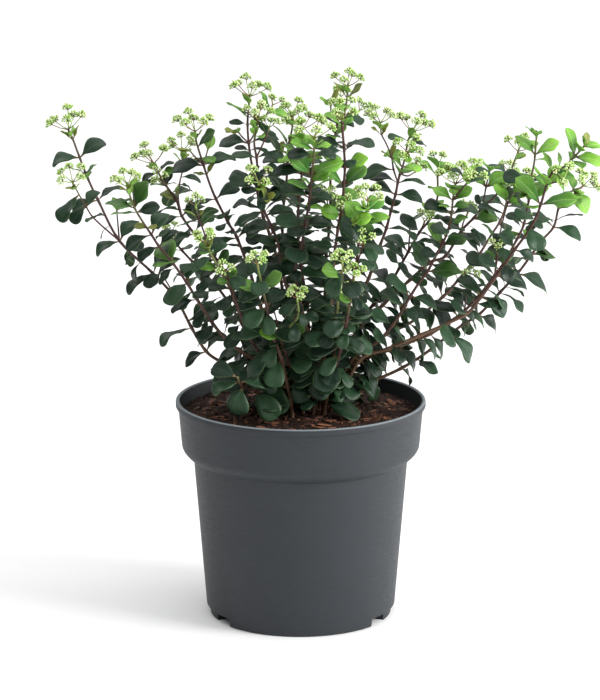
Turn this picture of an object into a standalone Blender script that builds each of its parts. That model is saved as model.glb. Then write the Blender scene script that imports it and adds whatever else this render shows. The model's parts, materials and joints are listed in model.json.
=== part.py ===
"""Potted laurustinus: a young evergreen shrub in a 23 cm nursery container.

Metres, +Z up, the front of the plant towards -Y. The origin is the middle of the pot's underside,
where it stands on the ground.
"""
import math
import random

import bmesh
import bpy
from mathutils import Matrix, Vector
from mathutils.bvhtree import BVHTree

MM = 0.001
UP = Vector((0, 0, 1))

# Pot
POT_HEIGHT = 202 * MM
RIM_RADIUS = 115 * MM
RIM_DEPTH = 5.5 * MM
RIM_STAND_OUT = 1.8 * MM
RIM_ROUND = 1.8 * MM
WALL = 2.0 * MM
COLLAR_FOOT_RADIUS = 109.4 * MM
COLLAR_FOOT_HEIGHT = 158 * MM
CREASE_RADIUS = 98.8 * MM
CREASE_HEIGHT = 148 * MM
SHOULDER_OUTER = (2.9 * MM, 4.5 * MM)
SHOULDER_LOWER = (3.2 * MM, 1.6 * MM)
SHOULDER_INNER = (2.2 * MM, 3 * MM)
BASE_RADIUS = 86.8 * MM
FLOOR_UNDERSIDE = 8.3 * MM
FOOT_WIDTH = 13 * MM
FOOT_EDGE_ROUND = 2.3 * MM
SIDE_FOOT_INSET = 2.8 * MM
PAD_RADIUS = 30 * MM
FRONT_FOOT_HALF_ANGLE = 48.4
SIDE_FOOT_HALF_ANGLE = 24.7
SIDE_FOOT_CUT_SPARE = 1
DRAIN_RADIUS = 5 * MM
DRAIN_SIDES = 8
DRAIN_PLACE_RADIUS = 62 * MM
POT_STEPS = 32
CUTTER_STEP = 8
CUTTER_SPARE = 8 * MM

# Soil
GAP = 0.3 * MM
SOIL_HEIGHT = 189 * MM
SOIL_DOME = 4 * MM
SOIL_RELIEF = 1.6 * MM
COARSE_WAVES = (0.17, 0.13)
FINE_WAVES = (0.41, -0.23, 0.11, 0.37)
COARSE_SHARE = 0.6
SOIL_RINGS = (0.36, 0.64, 0.88)
SHARP_ANGLE = 32
STEM_SUNK = 12 * MM
STEM_COLLAR = 7 * MM
STEM_HOLE_RADIUS = 3.9 * MM
STEM_HOLE_SIDES = 5

# Plant: the photo is a view from 3 m, with the eye 963 mm above the ground
EYE = Vector((0, -3000, 963)) * MM
VIEW = Vector((0, 0.972, -0.234))

# Each kind of leaf: width over length, angle to its stem and bend along it. Low ones stand out level
OLD = {"width": 0.60, "open": 62, "bend": 58}
NEW = {"width": 0.60, "open": 46, "bend": 30}
BUD = {"width": 0.50, "open": 30, "bend": 16}
LOW = {"width": 0.64, "open": 94, "bend": 46}

# A leaf's outline as shares of its length and width. The root is narrow, and the rest as here
OUTLINE = ((0.56, 1.0), (1.0, 0.45))
LONG_OUTLINE = ((0.36, 0.74), (0.72, 1.0), (1.0, 0.5))
LONG_LEAF = 31 * MM
LEAST_LEAF = 23
LEAF_THICKNESS = 0.7 * MM
LEAF_CLEARANCE = 0.5 * MM
LEAF_SPREAD = 9
LEAF_TO_LIGHT = 0.4
LEAF_TO_FRONT = (0.3, 1.5)
LEAF_NODE = 2.6 * MM
LEAF_FREE = 0.25
FIRST_LEAF_SEED = 100

# Each size of flower head: rays, how many of them stand upright, their length, the width of a
# cluster of buds and the angle of a ray to the head's axis
BIG = {"rays": 6, "upright": 1, "length": 17 * MM, "cluster": 9 * MM, "spread": 60}
MID = {"rays": 5, "upright": 1, "length": 13 * MM, "cluster": 8 * MM, "spread": 58}
SMALL = {"rays": 3, "upright": 0, "length": 7.5 * MM, "cluster": 7 * MM, "spread": 46}
YOUNG = {"rays": 4, "upright": 0, "length": 8 * MM, "cluster": 7.5 * MM, "spread": 52}
HUB_LENGTH = 3 * MM
HUB_RADIUS = 1.3 * MM
MERGE = 0.01 * MM
FOOT_SHARE = 0.8
SMALL_HEAD_SUNK = 1 * MM
RAY_RADIUS = 0.6 * MM
RAY_ASIDE = 5
RAY_TILTS = (0.92, 1.06)
RAY_LENGTHS = (0.9, 1.06)
UPRIGHT_TILT = 16
CLUSTER_HEIGHT = 0.4
SIDE_BUD_OUT = 0.46
SIDE_BUD_UP = 0.6 * MM
TOP_BUD_UP = 1.3 * MM
HEAD_TO_LIGHT = 0.8

# Stem radii from foot to tip. A square section this share of the radius has the same area
MAIN_RADII = (2.3 * MM, 1.15 * MM)
SIDE_RADII = (1.15 * MM, 0.85 * MM)
STEM_SQUARE = 0.85
LEAST_BEND = 1 * MM

# What a leaf that would cross another stem tries: turn, lift, length
TRIES = (
    (0, 0, 1), (14, 0, 1), (-14, 0, 1), (0, 16, 1), (0, -16, 1), (28, 0, 1), (-28, 0, 1),
    (20, 18, 0.92), (-20, 18, 0.92), (20, -18, 0.92), (-20, -18, 0.92), (38, 0, 0.85),
    (-38, 0, 0.85), (0, 30, 0.85), (0, -30, 0.85),
)

# The stems, traced from the front. Each has the place of its foot in the soil (across, depth) and
# its shoots. A shoot has the shoot and point it grows from, how far behind the pot's middle its tip
# is, its flower head, and its points as (across, height), or (across, height, leaf, length, turn)
# where a pair of leaves stands. All are millimetres on the plane of the pot's axis, seen from EYE.
STEMS = (
    ((-22, 4), (
        (None, 15, BIG, (
            (-45, 222), (-72, 236, LOW, 22, 20), (-87, 247, OLD, 24, 0), (-100, 269, OLD, 33, 5),
            (-114, 296, OLD, 20, 80), (-135, 320, OLD, 30, 0), (-165, 350, OLD, 26, 0),
            (-184, 388, OLD, 26, 10), (-193, 408, NEW, 13, 80), (-200, 427, OLD, 28, 0),
            (-206, 444, BUD, 13, 10), (-209, 450))),
        ((0, 6), -38, MID, ((-187, 370), (-195, 382, OLD, 20, 30), (-206, 402, BUD, 12, 0))),
        ((0, 6), 40, None, ((-167, 378, NEW, 22, 0),)),
        ((0, 4), 5, None, ((-118, 304), (-127, 320, OLD, 22, 40))))),
    ((-16, -8), (
        (None, -50, MID, (
            (-35, 232), (-48, 242, OLD, 28, 30), (-62, 252), (-80, 272, OLD, 28, 70),
            (-95, 296, OLD, 26, 20), (-104, 311, OLD, 34, 60), (-117, 330, NEW, 30, 80),
            (-129, 345, OLD, 22, 0), (-136, 356, OLD, 26, 20), (-145, 370),
            (-151, 381, NEW, 26, 0), (-157, 398))),
        ((0, 10), -35, None, ((-152, 395, BUD, 15, 20),)))),
    ((-20, 16), (
        (None, 90, SMALL, (
            (-42, 250), (-62, 286), (-77, 308, OLD, 26, 50), (-98, 330, OLD, 26, 0),
            (-108, 341, OLD, 20, 60), (-116, 351, BUD, 10, 0), (-118, 355))),)),
    ((-12, 14), (
        (None, 60, BIG, (
            (-43, 257), (-52, 278, OLD, 24, 60), (-62, 300), (-70, 322, OLD, 24, 0),
            (-82, 340, OLD, 22, 50), (-97, 357, OLD, 26, 0), (-108, 373, OLD, 26, 20),
            (-113, 388, BUD, 15, 0), (-122, 401, NEW, 18, 60), (-129, 413, OLD, 18, 0),
            (-132, 419))),
        ((0, 6), 100, MID, (
            (-111, 388), (-110, 402, OLD, 12, 0), (-106, 420, BUD, 15, 20), (-107, 430))),
        ((0, 8), 24, SMALL, ((-128, 405),)))),
    ((-8, 6), (
        (None, -10, BIG, (
            (-26, 255, OLD, 28, 20), (-37, 290, OLD, 26, 0), (-46, 320, OLD, 30, 60),
            (-58, 353, OLD, 30, 0), (-66, 367, OLD, 16, 60), (-77, 389, OLD, 24, 0), (-83, 404),
            (-88, 420, OLD, 30, 0), (-94, 440), (-95, 448))),
        ((0, 7), -20, None, ((-96, 428), (-100, 433, BUD, 15, 20))),
        ((0, 7), 10, None, ((-84, 434, BUD, 15, 60),)))),
    ((-14, -18), (
        (None, -95, YOUNG, (
            (-34, 238, LOW, 28, 40), (-48, 262, OLD, 24, 20), (-62, 300, OLD, 24, 60),
            (-75, 325, NEW, 18, 0), (-83, 340, NEW, 18, 70), (-86, 347))),
        ((0, 2), -100, SMALL, ((-66, 314, NEW, 12, 20), (-69, 319))),
        ((0, 4), -60, SMALL, ((-88, 358), (-93, 372, BUD, 16, 10), (-95, 380))))),
    ((-4, 18), (
        (None, 45, BIG, (
            (-10, 260), (-16, 300, OLD, 26, 60), (-22, 335, OLD, 28, 0), (-28, 355, OLD, 26, 50),
            (-34, 372, OLD, 28, 0), (-38, 389, OLD, 16, 60), (-42, 408, OLD, 24, 0),
            (-45, 425), (-47, 440, OLD, 28, 0), (-48, 457, OLD, 18, 30), (-47, 472), (-46, 480))),
        ((0, 8), 30, None, ((-53, 446), (-56, 450, BUD, 16, 20))),
        ((0, 8), 60, SMALL, ((-39, 453), (-33, 463), (-29, 469, NEW, 22, 0), (-26, 473))))),
    ((2, -2), (
        (None, -25, MID, (
            (-2, 255, OLD, 28, 50), (-8, 290, OLD, 28, -20), (-16, 318, OLD, 26, 30), (-20, 345),
            (-26, 362, OLD, 24, 0), (-34, 380), (-38, 398, OLD, 20, 60), (-39, 414),
            (-40, 427, OLD, 24, 0), (-42, 440), (-40, 453), (-39, 459))),
        ((0, 8), -15, SMALL, ((-33, 442), (-29, 452))),
        ((0, 5), -50, MID, ((-37, 392), (-38, 402))),
        ((0, 5), -40, None, ((-31, 390, BUD, 17, 0),)))),
    ((6, 14), (
        (None, 90, MID, (
            (4, 262, OLD, 26, 30), (-4, 300, OLD, 26, 20), (-12, 335, OLD, 30, 60),
            (-17, 362, OLD, 28, 0), (-15, 388, OLD, 26, 50), (-13, 404, OLD, 20, 10),
            (-12, 421, OLD, 24, 0), (-11, 438, NEW, 26, 40), (-8, 452), (-7, 462))),
        ((0, 6), 80, None, ((-17, 431, BUD, 15, 20),)),
        ((0, 6), 100, None, ((-5, 432, NEW, 16, 0),)))),
    ((8, -12), (
        (None, -5, BIG, (
            (8, 250, OLD, 28, 20), (7, 270, OLD, 26, -50), (6, 290, OLD, 28, 60),
            (0, 330, OLD, 30, 20), (-3, 365, OLD, 30, 70), (-1, 392, OLD, 30, 30),
            (1, 412, OLD, 24, 0), (2, 436, NEW, 20, 60), (1, 450))),)),
    ((14, -10), (
        (None, -55, BIG, (
            (12, 240, LOW, 28, 80), (8, 258, OLD, 28, 0), (4, 275, OLD, 28, 60),
            (-5, 318, OLD, 30, 0), (0, 342, OLD, 34, 80), (4, 364, OLD, 28, 30),
            (8, 390, OLD, 28, 0), (10, 411, NEW, 30, 0), (12, 428, OLD, 24, 20), (12, 442))),)),
    ((16, 14), (
        (None, 70, SMALL, (
            (19, 250), (22, 295, OLD, 26, 0), (23, 335, OLD, 28, 50), (26, 362, OLD, 28, 0),
            (27, 390, OLD, 26, 60), (27, 418, OLD, 22, 0), (30, 440, OLD, 16, 30),
            (33, 458, OLD, 16, 0), (35, 471), (36, 480))),
        ((0, 3), 40, SMALL, ((25, 378, NEW, 22, 10), (24, 388))),
        ((0, 7), 60, None, ((28, 466), (27, 474, BUD, 17, 10))),
        ((0, 7), 80, SMALL, ((42, 462), (52, 468))))),
    ((18, -6), (
        (None, -15, MID, (
            (24, 250, OLD, 28, -30), (26, 272, OLD, 26, 40), (28, 295, OLD, 28, 20),
            (30, 330, OLD, 26, 70), (34, 362, OLD, 24, 10), (38, 385, NEW, 22, 60),
            (39, 402, NEW, 26, 20), (40, 418, NEW, 22, 0), (39, 437, OLD, 28, 0),
            (38, 455, NEW, 14, 50), (40, 470), (42, 482, BUD, 18, 0), (42, 489))),
        ((0, 8), -35, MID, ((37, 455), (38, 464))),
        ((0, 4), -45, SMALL, ((37, 374, NEW, 22, 20), (37, 381))))),
    ((26, 6), (
        (None, 35, BIG, (
            (34, 250), (41, 267, OLD, 28, 60), (48, 285, OLD, 26, 20), (62, 315, OLD, 26, 0),
            (72, 345, OLD, 24, 30), (78, 362, OLD, 30, 0), (82, 378, OLD, 18, 70),
            (86, 393, OLD, 26, 0), (88, 404, OLD, 26, 10), (90, 412, NEW, 18, 60), (94, 425),
            (97, 442, OLD, 20, 30), (100, 448))),
        ((0, 8), 20, MID, (
            (84, 416, OLD, 30, 0), (82, 428, BUD, 12, 30), (77, 440), (73, 448, BUD, 12, 0),
            (72, 456))),
        ((0, 10), 10, MID, ((97, 430),)),
        ((0, 9), 60, SMALL, ((97, 410), (104, 414))))),
    ((22, -16), (
        (None, -75, MID, (
            (32, 248, OLD, 28, 60), (42, 285, OLD, 24, 30), (50, 325, OLD, 20, 0),
            (53, 351, NEW, 18, 50), (56, 366, NEW, 24, 0), (60, 378, NEW, 20, 60), (61, 384))),
        ((0, 3), -84, None, ((48, 366, NEW, 22, 10),)),
        ((0, 2), -90, SMALL, ((56, 343), (58, 348))))),
    ((24, 22), (
        (None, 80, SMALL, (
            (40, 258), (52, 275, OLD, 26, 0), (66, 290, OLD, 28, 60), (80, 307, OLD, 28, 10),
            (90, 325, OLD, 24, 60), (98, 340, OLD, 26, 0), (108, 358, OLD, 28, 40),
            (118, 371, NEW, 16, 0), (124, 390), (124, 410, NEW, 24, 30), (125, 420))),
        ((0, 6), 60, SMALL, ((112, 366),)),
        ((0, 5), 60, None, ((99, 355), (99, 368, NEW, 24, 20))))),
    ((26, -7), (
        (None, -30, BIG, (
            (46, 236, LOW, 28, 70), (60, 248, OLD, 26, 0), (72, 257), (84, 271, OLD, 26, 40),
            (94, 287, OLD, 26, 0), (100, 298, OLD, 28, 20), (108, 311), (116, 322, NEW, 30, 10),
            (124, 338, OLD, 24, 60), (129, 347, NEW, 22, 0), (134, 360, OLD, 28, 70),
            (137, 375, OLD, 26, 20), (138, 388, NEW, 20, 0), (140, 400))),
        ((0, 12), -55, MID, ((146, 398), (153, 407))))),
    ((32, 20), (
        (None, 115, SMALL, (
            (50, 245), (80, 263), (104, 276), (130, 298, OLD, 28, 0), (144, 314, OLD, 26, 10),
            (154, 327), (163, 338, OLD, 30, 0), (173, 355), (181, 368, OLD, 22, 60),
            (186, 382, OLD, 28, 0), (188, 400, NEW, 18, 0), (188, 413))),)),
    ((30, 12), (
        (None, 65, MID, (
            (50, 262, OLD, 26, -30), (75, 290, OLD, 26, 20), (100, 314, OLD, 28, 60),
            (118, 330, OLD, 24, 0), (132, 336, OLD, 22, 50), (146, 359, OLD, 24, 0),
            (157, 371, NEW, 24, 20), (165, 381, OLD, 16, 60), (176, 391), (188, 409, OLD, 22, 0),
            (194, 425), (196, 430))),
        ((0, 7), 50, None, ((168, 400, NEW, 24, 0), (171, 414, NEW, 18, 60))),
        ((0, 5), 50, SMALL, ((148, 368), (151, 374))))),
    ((33, -1), (
        (None, 5, None, (
            (48, 234), (66, 242, OLD, 20, 60), (90, 251, OLD, 30, 30), (105, 257),
            (119, 263, OLD, 26, 0), (137, 275), (150, 285, OLD, 26, 50), (163, 299, OLD, 22, 0),
            (177, 318, OLD, 34, 30), (187, 333), (197, 352, OLD, 20, 60), (203, 366, OLD, 18, 0),
            (207, 388, NEW, 26, 60), (208, 404, OLD, 26, 30), (211, 420), (212, 430, NEW, 24, 0),
            (213, 446, NEW, 18, 60))),
        ((0, 8), -15, SMALL, ((179, 333, NEW, 14, 0), (179, 340))),
        ((0, 8), 44, MID, ((180, 350, NEW, 22, 0), (188, 385, NEW, 22, 30), (197, 400))),
        ((0, 6), -10, SMALL, ((151, 298), (154, 312))))),
    ((36, -12), (
        (None, -55, None, (
            (54, 238, LOW, 30, 30), (80, 249, OLD, 28, 60), (110, 262, OLD, 26, 20),
            (150, 281, OLD, 26, 60), (165, 298, OLD, 28, 0), (182, 322, OLD, 26, 40),
            (195, 342, OLD, 20, 0), (205, 356), (213, 370, OLD, 26, 60), (218, 384, NEW, 32, 0),
            (223, 402, NEW, 28, 50), (228, 413, NEW, 20, 0), (238, 418), (248, 428, NEW, 26, 0),
            (256, 437, NEW, 18, 60))),
        ((0, 10), -76, MID, ((230, 404), (237, 405))))),
    ((39, 8), (
        (None, 30, MID, (
            (52, 214), (74, 222), (93, 231, OLD, 24, 40), (112, 243), (136, 262, OLD, 34, 10),
            (150, 273), (163, 281, OLD, 26, 30), (182, 302, OLD, 28, 0), (198, 320, OLD, 36, 20),
            (211, 338, NEW, 24, 30), (219, 350), (230, 363, OLD, 28, 0), (234, 380, NEW, 18, 60),
            (240, 392, NEW, 18, 0), (248, 397), (254, 399))),)),
    ((2, -22), (
        (None, -90, YOUNG, (
            (-4, 214), (-6, 221, LOW, 24, 80), (-9, 230, LOW, 32, 0), (-12, 239, OLD, 28, -60),
            (-18, 261, NEW, 22, 20), (-9, 271), (-2, 280, OLD, 18, 0), (-3, 294))),
        ((0, 4), -62, None, ((-24, 283, OLD, 24, 40),)),
        ((0, 4), -70, None, ((-34, 280, OLD, 26, 10),)))),
    ((-26, -16), (
        (None, -80, None, ((-40, 208), (-54, 214, LOW, 26, 40), (-58, 222, OLD, 26, -50))),)),
    ((12, -26), (
        (None, -85, YOUNG, (
            (20, 235, LOW, 30, 10), (27, 260, OLD, 28, 60), (33, 280, OLD, 26, 0), (34, 292),
            (34, 299))),)),
    ((22, -28), (
        (None, -110, YOUNG, (
            (30, 224, LOW, 28, 60), (37, 250, OLD, 28, 0), (42, 275, OLD, 26, 50),
            (46, 296, NEW, 16, 60), (48, 308), (49, 315))),
        ((0, 3), -122, YOUNG, ((40, 305), (38, 318, NEW, 22, 20), (38, 328))))),
    ((-8, -34), (
        (None, -105, YOUNG, (
            (-18, 240, LOW, 28, 60), (-27, 264, OLD, 28, 0), (-31, 288, OLD, 28, 50),
            (-35, 306, NEW, 22, 0), (-38, 320), (-39, 326))),)),
)


def material(name, colour, roughness):
    made = bpy.data.materials.new(name)
    made.use_nodes = True
    shader = made.node_tree.nodes["Principled BSDF"]
    shader.inputs["Base Color"].default_value = (*colour, 1)
    shader.inputs["Roughness"].default_value = roughness
    shader.inputs["Metallic"].default_value = 0
    made.diffuse_color = (*colour, 1)
    return made


def new_collection(name, parent):
    made = bpy.data.collections.new(name)
    parent.children.link(made)
    return made


def mesh_object(name, shape, collection):
    """An object from a bmesh, which it frees."""
    mesh = bpy.data.meshes.new(name)
    shape.to_mesh(mesh)
    shape.free()
    made = bpy.data.objects.new(name, mesh)
    collection.objects.link(made)
    return made


def smooth(obj, angle):
    obj.data.shade_smooth()
    obj.data.set_sharp_from_angle(angle=math.radians(angle))


def make_cutter(obj):
    obj.hide_render = True
    obj.display_type = "WIRE"


def turned(name, profile, collection):
    """A solid turned round +Z from (radius, height) points, down its outer side."""
    shape = bmesh.new()
    corners = [shape.verts.new((radius, 0, height)) for radius, height in profile]
    for upper, lower in zip(corners, corners[1:]):
        shape.edges.new((upper, lower))
    made = mesh_object(name, shape, collection)
    screw = made.modifiers.new("Turn", "SCREW")
    screw.angle = math.tau
    screw.steps = POT_STEPS
    screw.render_steps = POT_STEPS
    screw.use_merge_vertices = True
    screw.merge_threshold = MERGE
    return made


def apply_modifiers(obj):
    """Replaces the object's mesh with what its modifiers make of it."""
    graph = bpy.context.evaluated_depsgraph_get()
    before = obj.data
    obj.data = bpy.data.meshes.new_from_object(obj.evaluated_get(graph))
    obj.modifiers.clear()
    bpy.data.meshes.remove(before)


def join_all(obj, pieces):
    """Unites the object with every object of the collection, which it empties and removes."""
    union = obj.modifiers.new("Join", "BOOLEAN")
    union.operation = "UNION"
    union.operand_type = "COLLECTION"
    union.collection = pieces
    union.solver = "EXACT"
    apply_modifiers(obj)
    for piece in list(pieces.objects):
        bpy.data.objects.remove(piece)
    bpy.data.collections.remove(pieces)
    keep_largest(obj)


def keep_largest(obj):
    """Keeps the mesh's largest closed surface, without the hollows and scraps that a union sealed off."""
    shape = bmesh.new()
    shape.from_mesh(obj.data)
    waiting = set(shape.verts)
    surfaces = []
    while waiting:
        surface = [waiting.pop()]
        for corner in surface:
            near = {edge.other_vert(corner) for edge in corner.link_edges} & waiting
            waiting -= near
            surface.extend(near)
        surfaces.append(surface)
    largest = max(surfaces, key=len)
    scraps = [corner for surface in surfaces if surface is not largest for corner in surface]
    bmesh.ops.delete(shape, geom=scraps, context="VERTS")
    shape.to_mesh(obj.data)
    shape.free()


def wall_radius(height):
    """Outer radius of the pot below its crease."""
    share = height / CREASE_HEIGHT
    return BASE_RADIUS + (CREASE_RADIUS - BASE_RADIUS) * share


def collar_radius(height):
    """Outer radius of the pot between its shoulder and its rim."""
    share = (height - COLLAR_FOOT_HEIGHT) / (POT_HEIGHT - COLLAR_FOOT_HEIGHT)
    return COLLAR_FOOT_RADIUS + (RIM_RADIUS - RIM_STAND_OUT - COLLAR_FOOT_RADIUS) * share


def inside_profile():
    """The pot's inner wall from the edge of its floor to its mouth, as (radius, height)."""
    floor = FLOOR_UNDERSIDE + WALL
    inward, down = SHOULDER_INNER
    above_foot = COLLAR_FOOT_HEIGHT + down
    return [
        (wall_radius(floor) - WALL, floor),
        (CREASE_RADIUS - WALL, CREASE_HEIGHT + WALL / 2),
        (COLLAR_FOOT_RADIUS - WALL - inward, COLLAR_FOOT_HEIGHT - down),
        (collar_radius(above_foot) - WALL, above_foot),
        (collar_radius(POT_HEIGHT) - WALL, POT_HEIGHT - RIM_ROUND),
    ]


def outside_profile():
    """The pot's outer side from its mouth down to the middle of its underside."""
    under_rim = POT_HEIGHT - RIM_DEPTH
    foot_inner = BASE_RADIUS - FOOT_WIDTH
    return [
        (RIM_RADIUS - RIM_ROUND, POT_HEIGHT),
        (RIM_RADIUS, POT_HEIGHT - RIM_ROUND),
        (RIM_RADIUS, under_rim + RIM_ROUND / 3),
        (collar_radius(under_rim), under_rim),
        (COLLAR_FOOT_RADIUS, COLLAR_FOOT_HEIGHT),
        (COLLAR_FOOT_RADIUS - SHOULDER_OUTER[0], COLLAR_FOOT_HEIGHT - SHOULDER_OUTER[1]),
        (CREASE_RADIUS + SHOULDER_LOWER[0], CREASE_HEIGHT + SHOULDER_LOWER[1]),
        (CREASE_RADIUS, CREASE_HEIGHT),
        (wall_radius(FOOT_EDGE_ROUND), FOOT_EDGE_ROUND),
        (BASE_RADIUS - FOOT_EDGE_ROUND, 0),
        (foot_inner, 0),
        (foot_inner - WALL, FLOOR_UNDERSIDE),
        (PAD_RADIUS + WALL, FLOOR_UNDERSIDE),
        (PAD_RADIUS, 0),
        (0, 0),
    ]


def cut_by(obj, name, cutters):
    """Takes every cutter of the collection out of the object."""
    cut = obj.modifiers.new(name, "BOOLEAN")
    cut.operation = "DIFFERENCE"
    cut.operand_type = "COLLECTION"
    cut.collection = cutters


def foot_cutter(name, inner_radius, start, sweep, collection):
    """A piece of a ring as high as the feet, from the angle start to start + sweep in degrees."""
    steps = max(2, round(sweep / CUTTER_STEP))
    shape = bmesh.new()
    outline = []
    for radius, order in ((inner_radius, 1), (BASE_RADIUS + CUTTER_SPARE, -1)):
        for step in range(steps + 1)[::order]:
            angle = math.radians(start + sweep * step / steps)
            place = (radius * math.cos(angle), radius * math.sin(angle), -CUTTER_SPARE)
            outline.append(shape.verts.new(place))
    face = shape.faces.new(outline)
    raised = bmesh.ops.extrude_face_region(shape, geom=[face])["geom"]
    corners = [item for item in raised if isinstance(item, bmesh.types.BMVert)]
    bmesh.ops.translate(shape, verts=corners, vec=(0, 0, FLOOR_UNDERSIDE + CUTTER_SPARE))
    bmesh.ops.recalc_face_normals(shape, faces=shape.faces)
    make_cutter(mesh_object(name, shape, collection))


def drain_cutter(name, angle, collection):
    """A drain hole's cutter, through the pot's floor."""
    shape = bmesh.new()
    bmesh.ops.create_cone(
        shape, cap_ends=True, segments=DRAIN_SIDES, radius1=DRAIN_RADIUS, radius2=DRAIN_RADIUS,
        depth=4 * WALL,
    )
    made = mesh_object(name, shape, collection)
    turn = math.radians(angle)
    made.location = (
        DRAIN_PLACE_RADIUS * math.cos(turn), DRAIN_PLACE_RADIUS * math.sin(turn), FLOOR_UNDERSIDE,
    )
    make_cutter(made)


def make_pot(parts, cutters):
    floor = (0, FLOOR_UNDERSIDE + WALL)
    pot = turned("nursery_pot", [floor] + inside_profile() + outside_profile(), parts)
    cuts = new_collection("Pot cutters", cutters)
    notch_sweep = 90 - FRONT_FOOT_HALF_ANGLE - SIDE_FOOT_HALF_ANGLE
    side_sweep = SIDE_FOOT_HALF_ANGLE + SIDE_FOOT_CUT_SPARE
    inset_radius = BASE_RADIUS - FOOT_EDGE_ROUND - SIDE_FOOT_INSET / 2
    for side, middle in (("right", 0), ("left", 180)):
        foot_cutter(
            f"side_foot_cutter_{side}", inset_radius, middle - side_sweep, 2 * side_sweep, cuts,
        )
        for end, turn in (("front", -1), ("back", 1)):
            notch_middle = middle + turn * (SIDE_FOOT_HALF_ANGLE + notch_sweep / 2)
            foot_cutter(
                f"notch_cutter_{side}_{end}", BASE_RADIUS - FOOT_WIDTH - 2 * WALL,
                notch_middle - notch_sweep / 2, notch_sweep, cuts,
            )
            drain_cutter(f"drain_cutter_{side}_{end}", notch_middle, cuts)
    cut_by(pot, "Feet and drain holes", cuts)
    smooth(pot, SHARP_ANGLE)
    pot.data.materials.append(material("Dark blue-grey plastic", (0.060, 0.070, 0.080), 0.42))
    return pot


def soil_relief(across, depth):
    """Height of the crumbled soil above its dome, by crossing waves."""
    x = across / MM
    y = depth / MM
    coarse = math.sin(COARSE_WAVES[0] * x + 0.9) * math.cos(COARSE_WAVES[1] * y - 0.4)
    fine = math.sin(FINE_WAVES[0] * x + FINE_WAVES[1] * y) * math.cos(FINE_WAVES[2] * x + FINE_WAVES[3] * y)
    return SOIL_RELIEF * (COARSE_SHARE * coarse + (1 - COARSE_SHARE) * fine)


def soil_top(across, depth):
    spread = math.hypot(across, depth) / collar_radius(SOIL_HEIGHT)
    return SOIL_HEIGHT + SOIL_DOME * (1 - spread ** 2) + soil_relief(across, depth)


def make_soil(feet, parts, cutters):
    """The soil fills the pot, with a plain blind hole for each stem's foot."""
    side = [(radius - GAP, height) for radius, height in inside_profile()[:-1]]
    side[0] = (side[0][0], side[0][1] + GAP)
    edge = (collar_radius(SOIL_HEIGHT) - WALL - GAP, SOIL_HEIGHT)
    rings = [(edge[0] * share, SOIL_HEIGHT) for share in SOIL_RINGS]
    profile = [(0, SOIL_HEIGHT)] + rings + [edge] + side[::-1] + [(0, side[0][1])]
    soil = turned("potting_soil", profile, parts)
    apply_modifiers(soil)
    for corner in soil.data.vertices:
        if corner.co.z > SOIL_HEIGHT - GAP:
            corner.co.z = soil_top(corner.co.x, corner.co.y)
    cuts = new_collection("Soil cutters", cutters)
    for number, (across, depth) in enumerate(feet):
        shape = bmesh.new()
        bmesh.ops.create_cone(
            shape, cap_ends=True, segments=STEM_HOLE_SIDES, radius1=STEM_HOLE_RADIUS,
            radius2=STEM_HOLE_RADIUS, depth=2 * STEM_SUNK + 2 * GAP,
        )
        hole = mesh_object(f"stem_hole_cutter_{number + 1:02d}", shape, cuts)
        hole.location = (across, depth, SOIL_HEIGHT + SOIL_DOME)
        make_cutter(hole)
    cut_by(soil, "Stem holes", cuts)
    soil.data.materials.append(material("Peat and bark soil", (0.030, 0.015, 0.009), 0.95))
    return soil


def on_sight_line(across, height, depth):
    """The point at this depth that the eye sees at (across, height) on the axis plane."""
    flat = Vector((across, 0, height)) * MM
    return flat + (flat - EYE) * (depth / -EYE.y)


def grow_points(start, tip_depth, traced):
    """Points of a shoot in space from its start, its depth growing evenly with its length."""
    lengths = []
    length = 0
    before = start
    for place in traced:
        flat = Vector((place[0], 0, place[1])) * MM
        length += math.hypot(flat.x - before.x, flat.z - before.z)
        lengths.append(length)
        before = flat
    return [
        on_sight_line(place[0], place[1], start.y + (tip_depth - start.y) * so_far / length)
        for place, so_far in zip(traced, lengths)
    ]


def grow_stem(stem):
    """The stem's shoots: points and radii of each, the number of its first traced point, its data."""
    foot, shoots = stem
    grown = []
    for origin, tip_depth, head, traced in shoots:
        if origin is None:
            bottom = Vector((foot[0] * MM, foot[1] * MM, SOIL_HEIGHT + SOIL_DOME - STEM_SUNK))
            collar = bottom + UP * (STEM_SUNK + STEM_COLLAR)
            begun = [bottom, collar]
            radii = MAIN_RADII
        else:
            parent, number = origin
            begun = [grown[parent]["points"][grown[parent]["first"] + number]]
            radii = SIDE_RADII
        grown.append({
            "points": begun + grow_points(begun[-1], tip_depth * MM, traced), "radii": radii,
            "first": len(begun), "head": head, "traced": traced,
        })
    return grown


def way_at(points, number):
    before = points[max(number - 1, 0)]
    after = points[min(number + 1, len(points) - 1)]
    return (after - before).normalized()


def outward_at(way, turn):
    """The way out of a stem at this turn about it. Turn 0 lies across the view."""
    return Matrix.Rotation(math.radians(turn), 3, way) @ way.cross(VIEW).normalized()


def half_side(shoot, number):
    """Half the side of the shoot's square section, which has about the stem's own area."""
    share = number / (len(shoot["points"]) - 1)
    first, last = shoot["radii"]
    return (first + (last - first) * share) * STEM_SQUARE


def place_corner(corner, section, way_a, way_b):
    """Puts a corner on a section, on the side that it has of each of the two ways."""
    middle, half_a, half_b = section
    corner.co = middle + half_a * math.copysign(1, way_a) + half_b * math.copysign(1, way_b)


def begin(lower, upper):
    """A cube drawn out between two sections, and its upper face.

    A section is a rectangle: its middle and its two half sides.
    """
    shape = bmesh.new()
    bmesh.ops.create_cube(shape, size=2)
    end = max(shape.faces, key=lambda face: face.calc_center_median().z)
    for corner in shape.verts:
        place_corner(corner, upper if corner.co.z > 0 else lower, corner.co.x, corner.co.y)
    return shape, end


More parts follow.
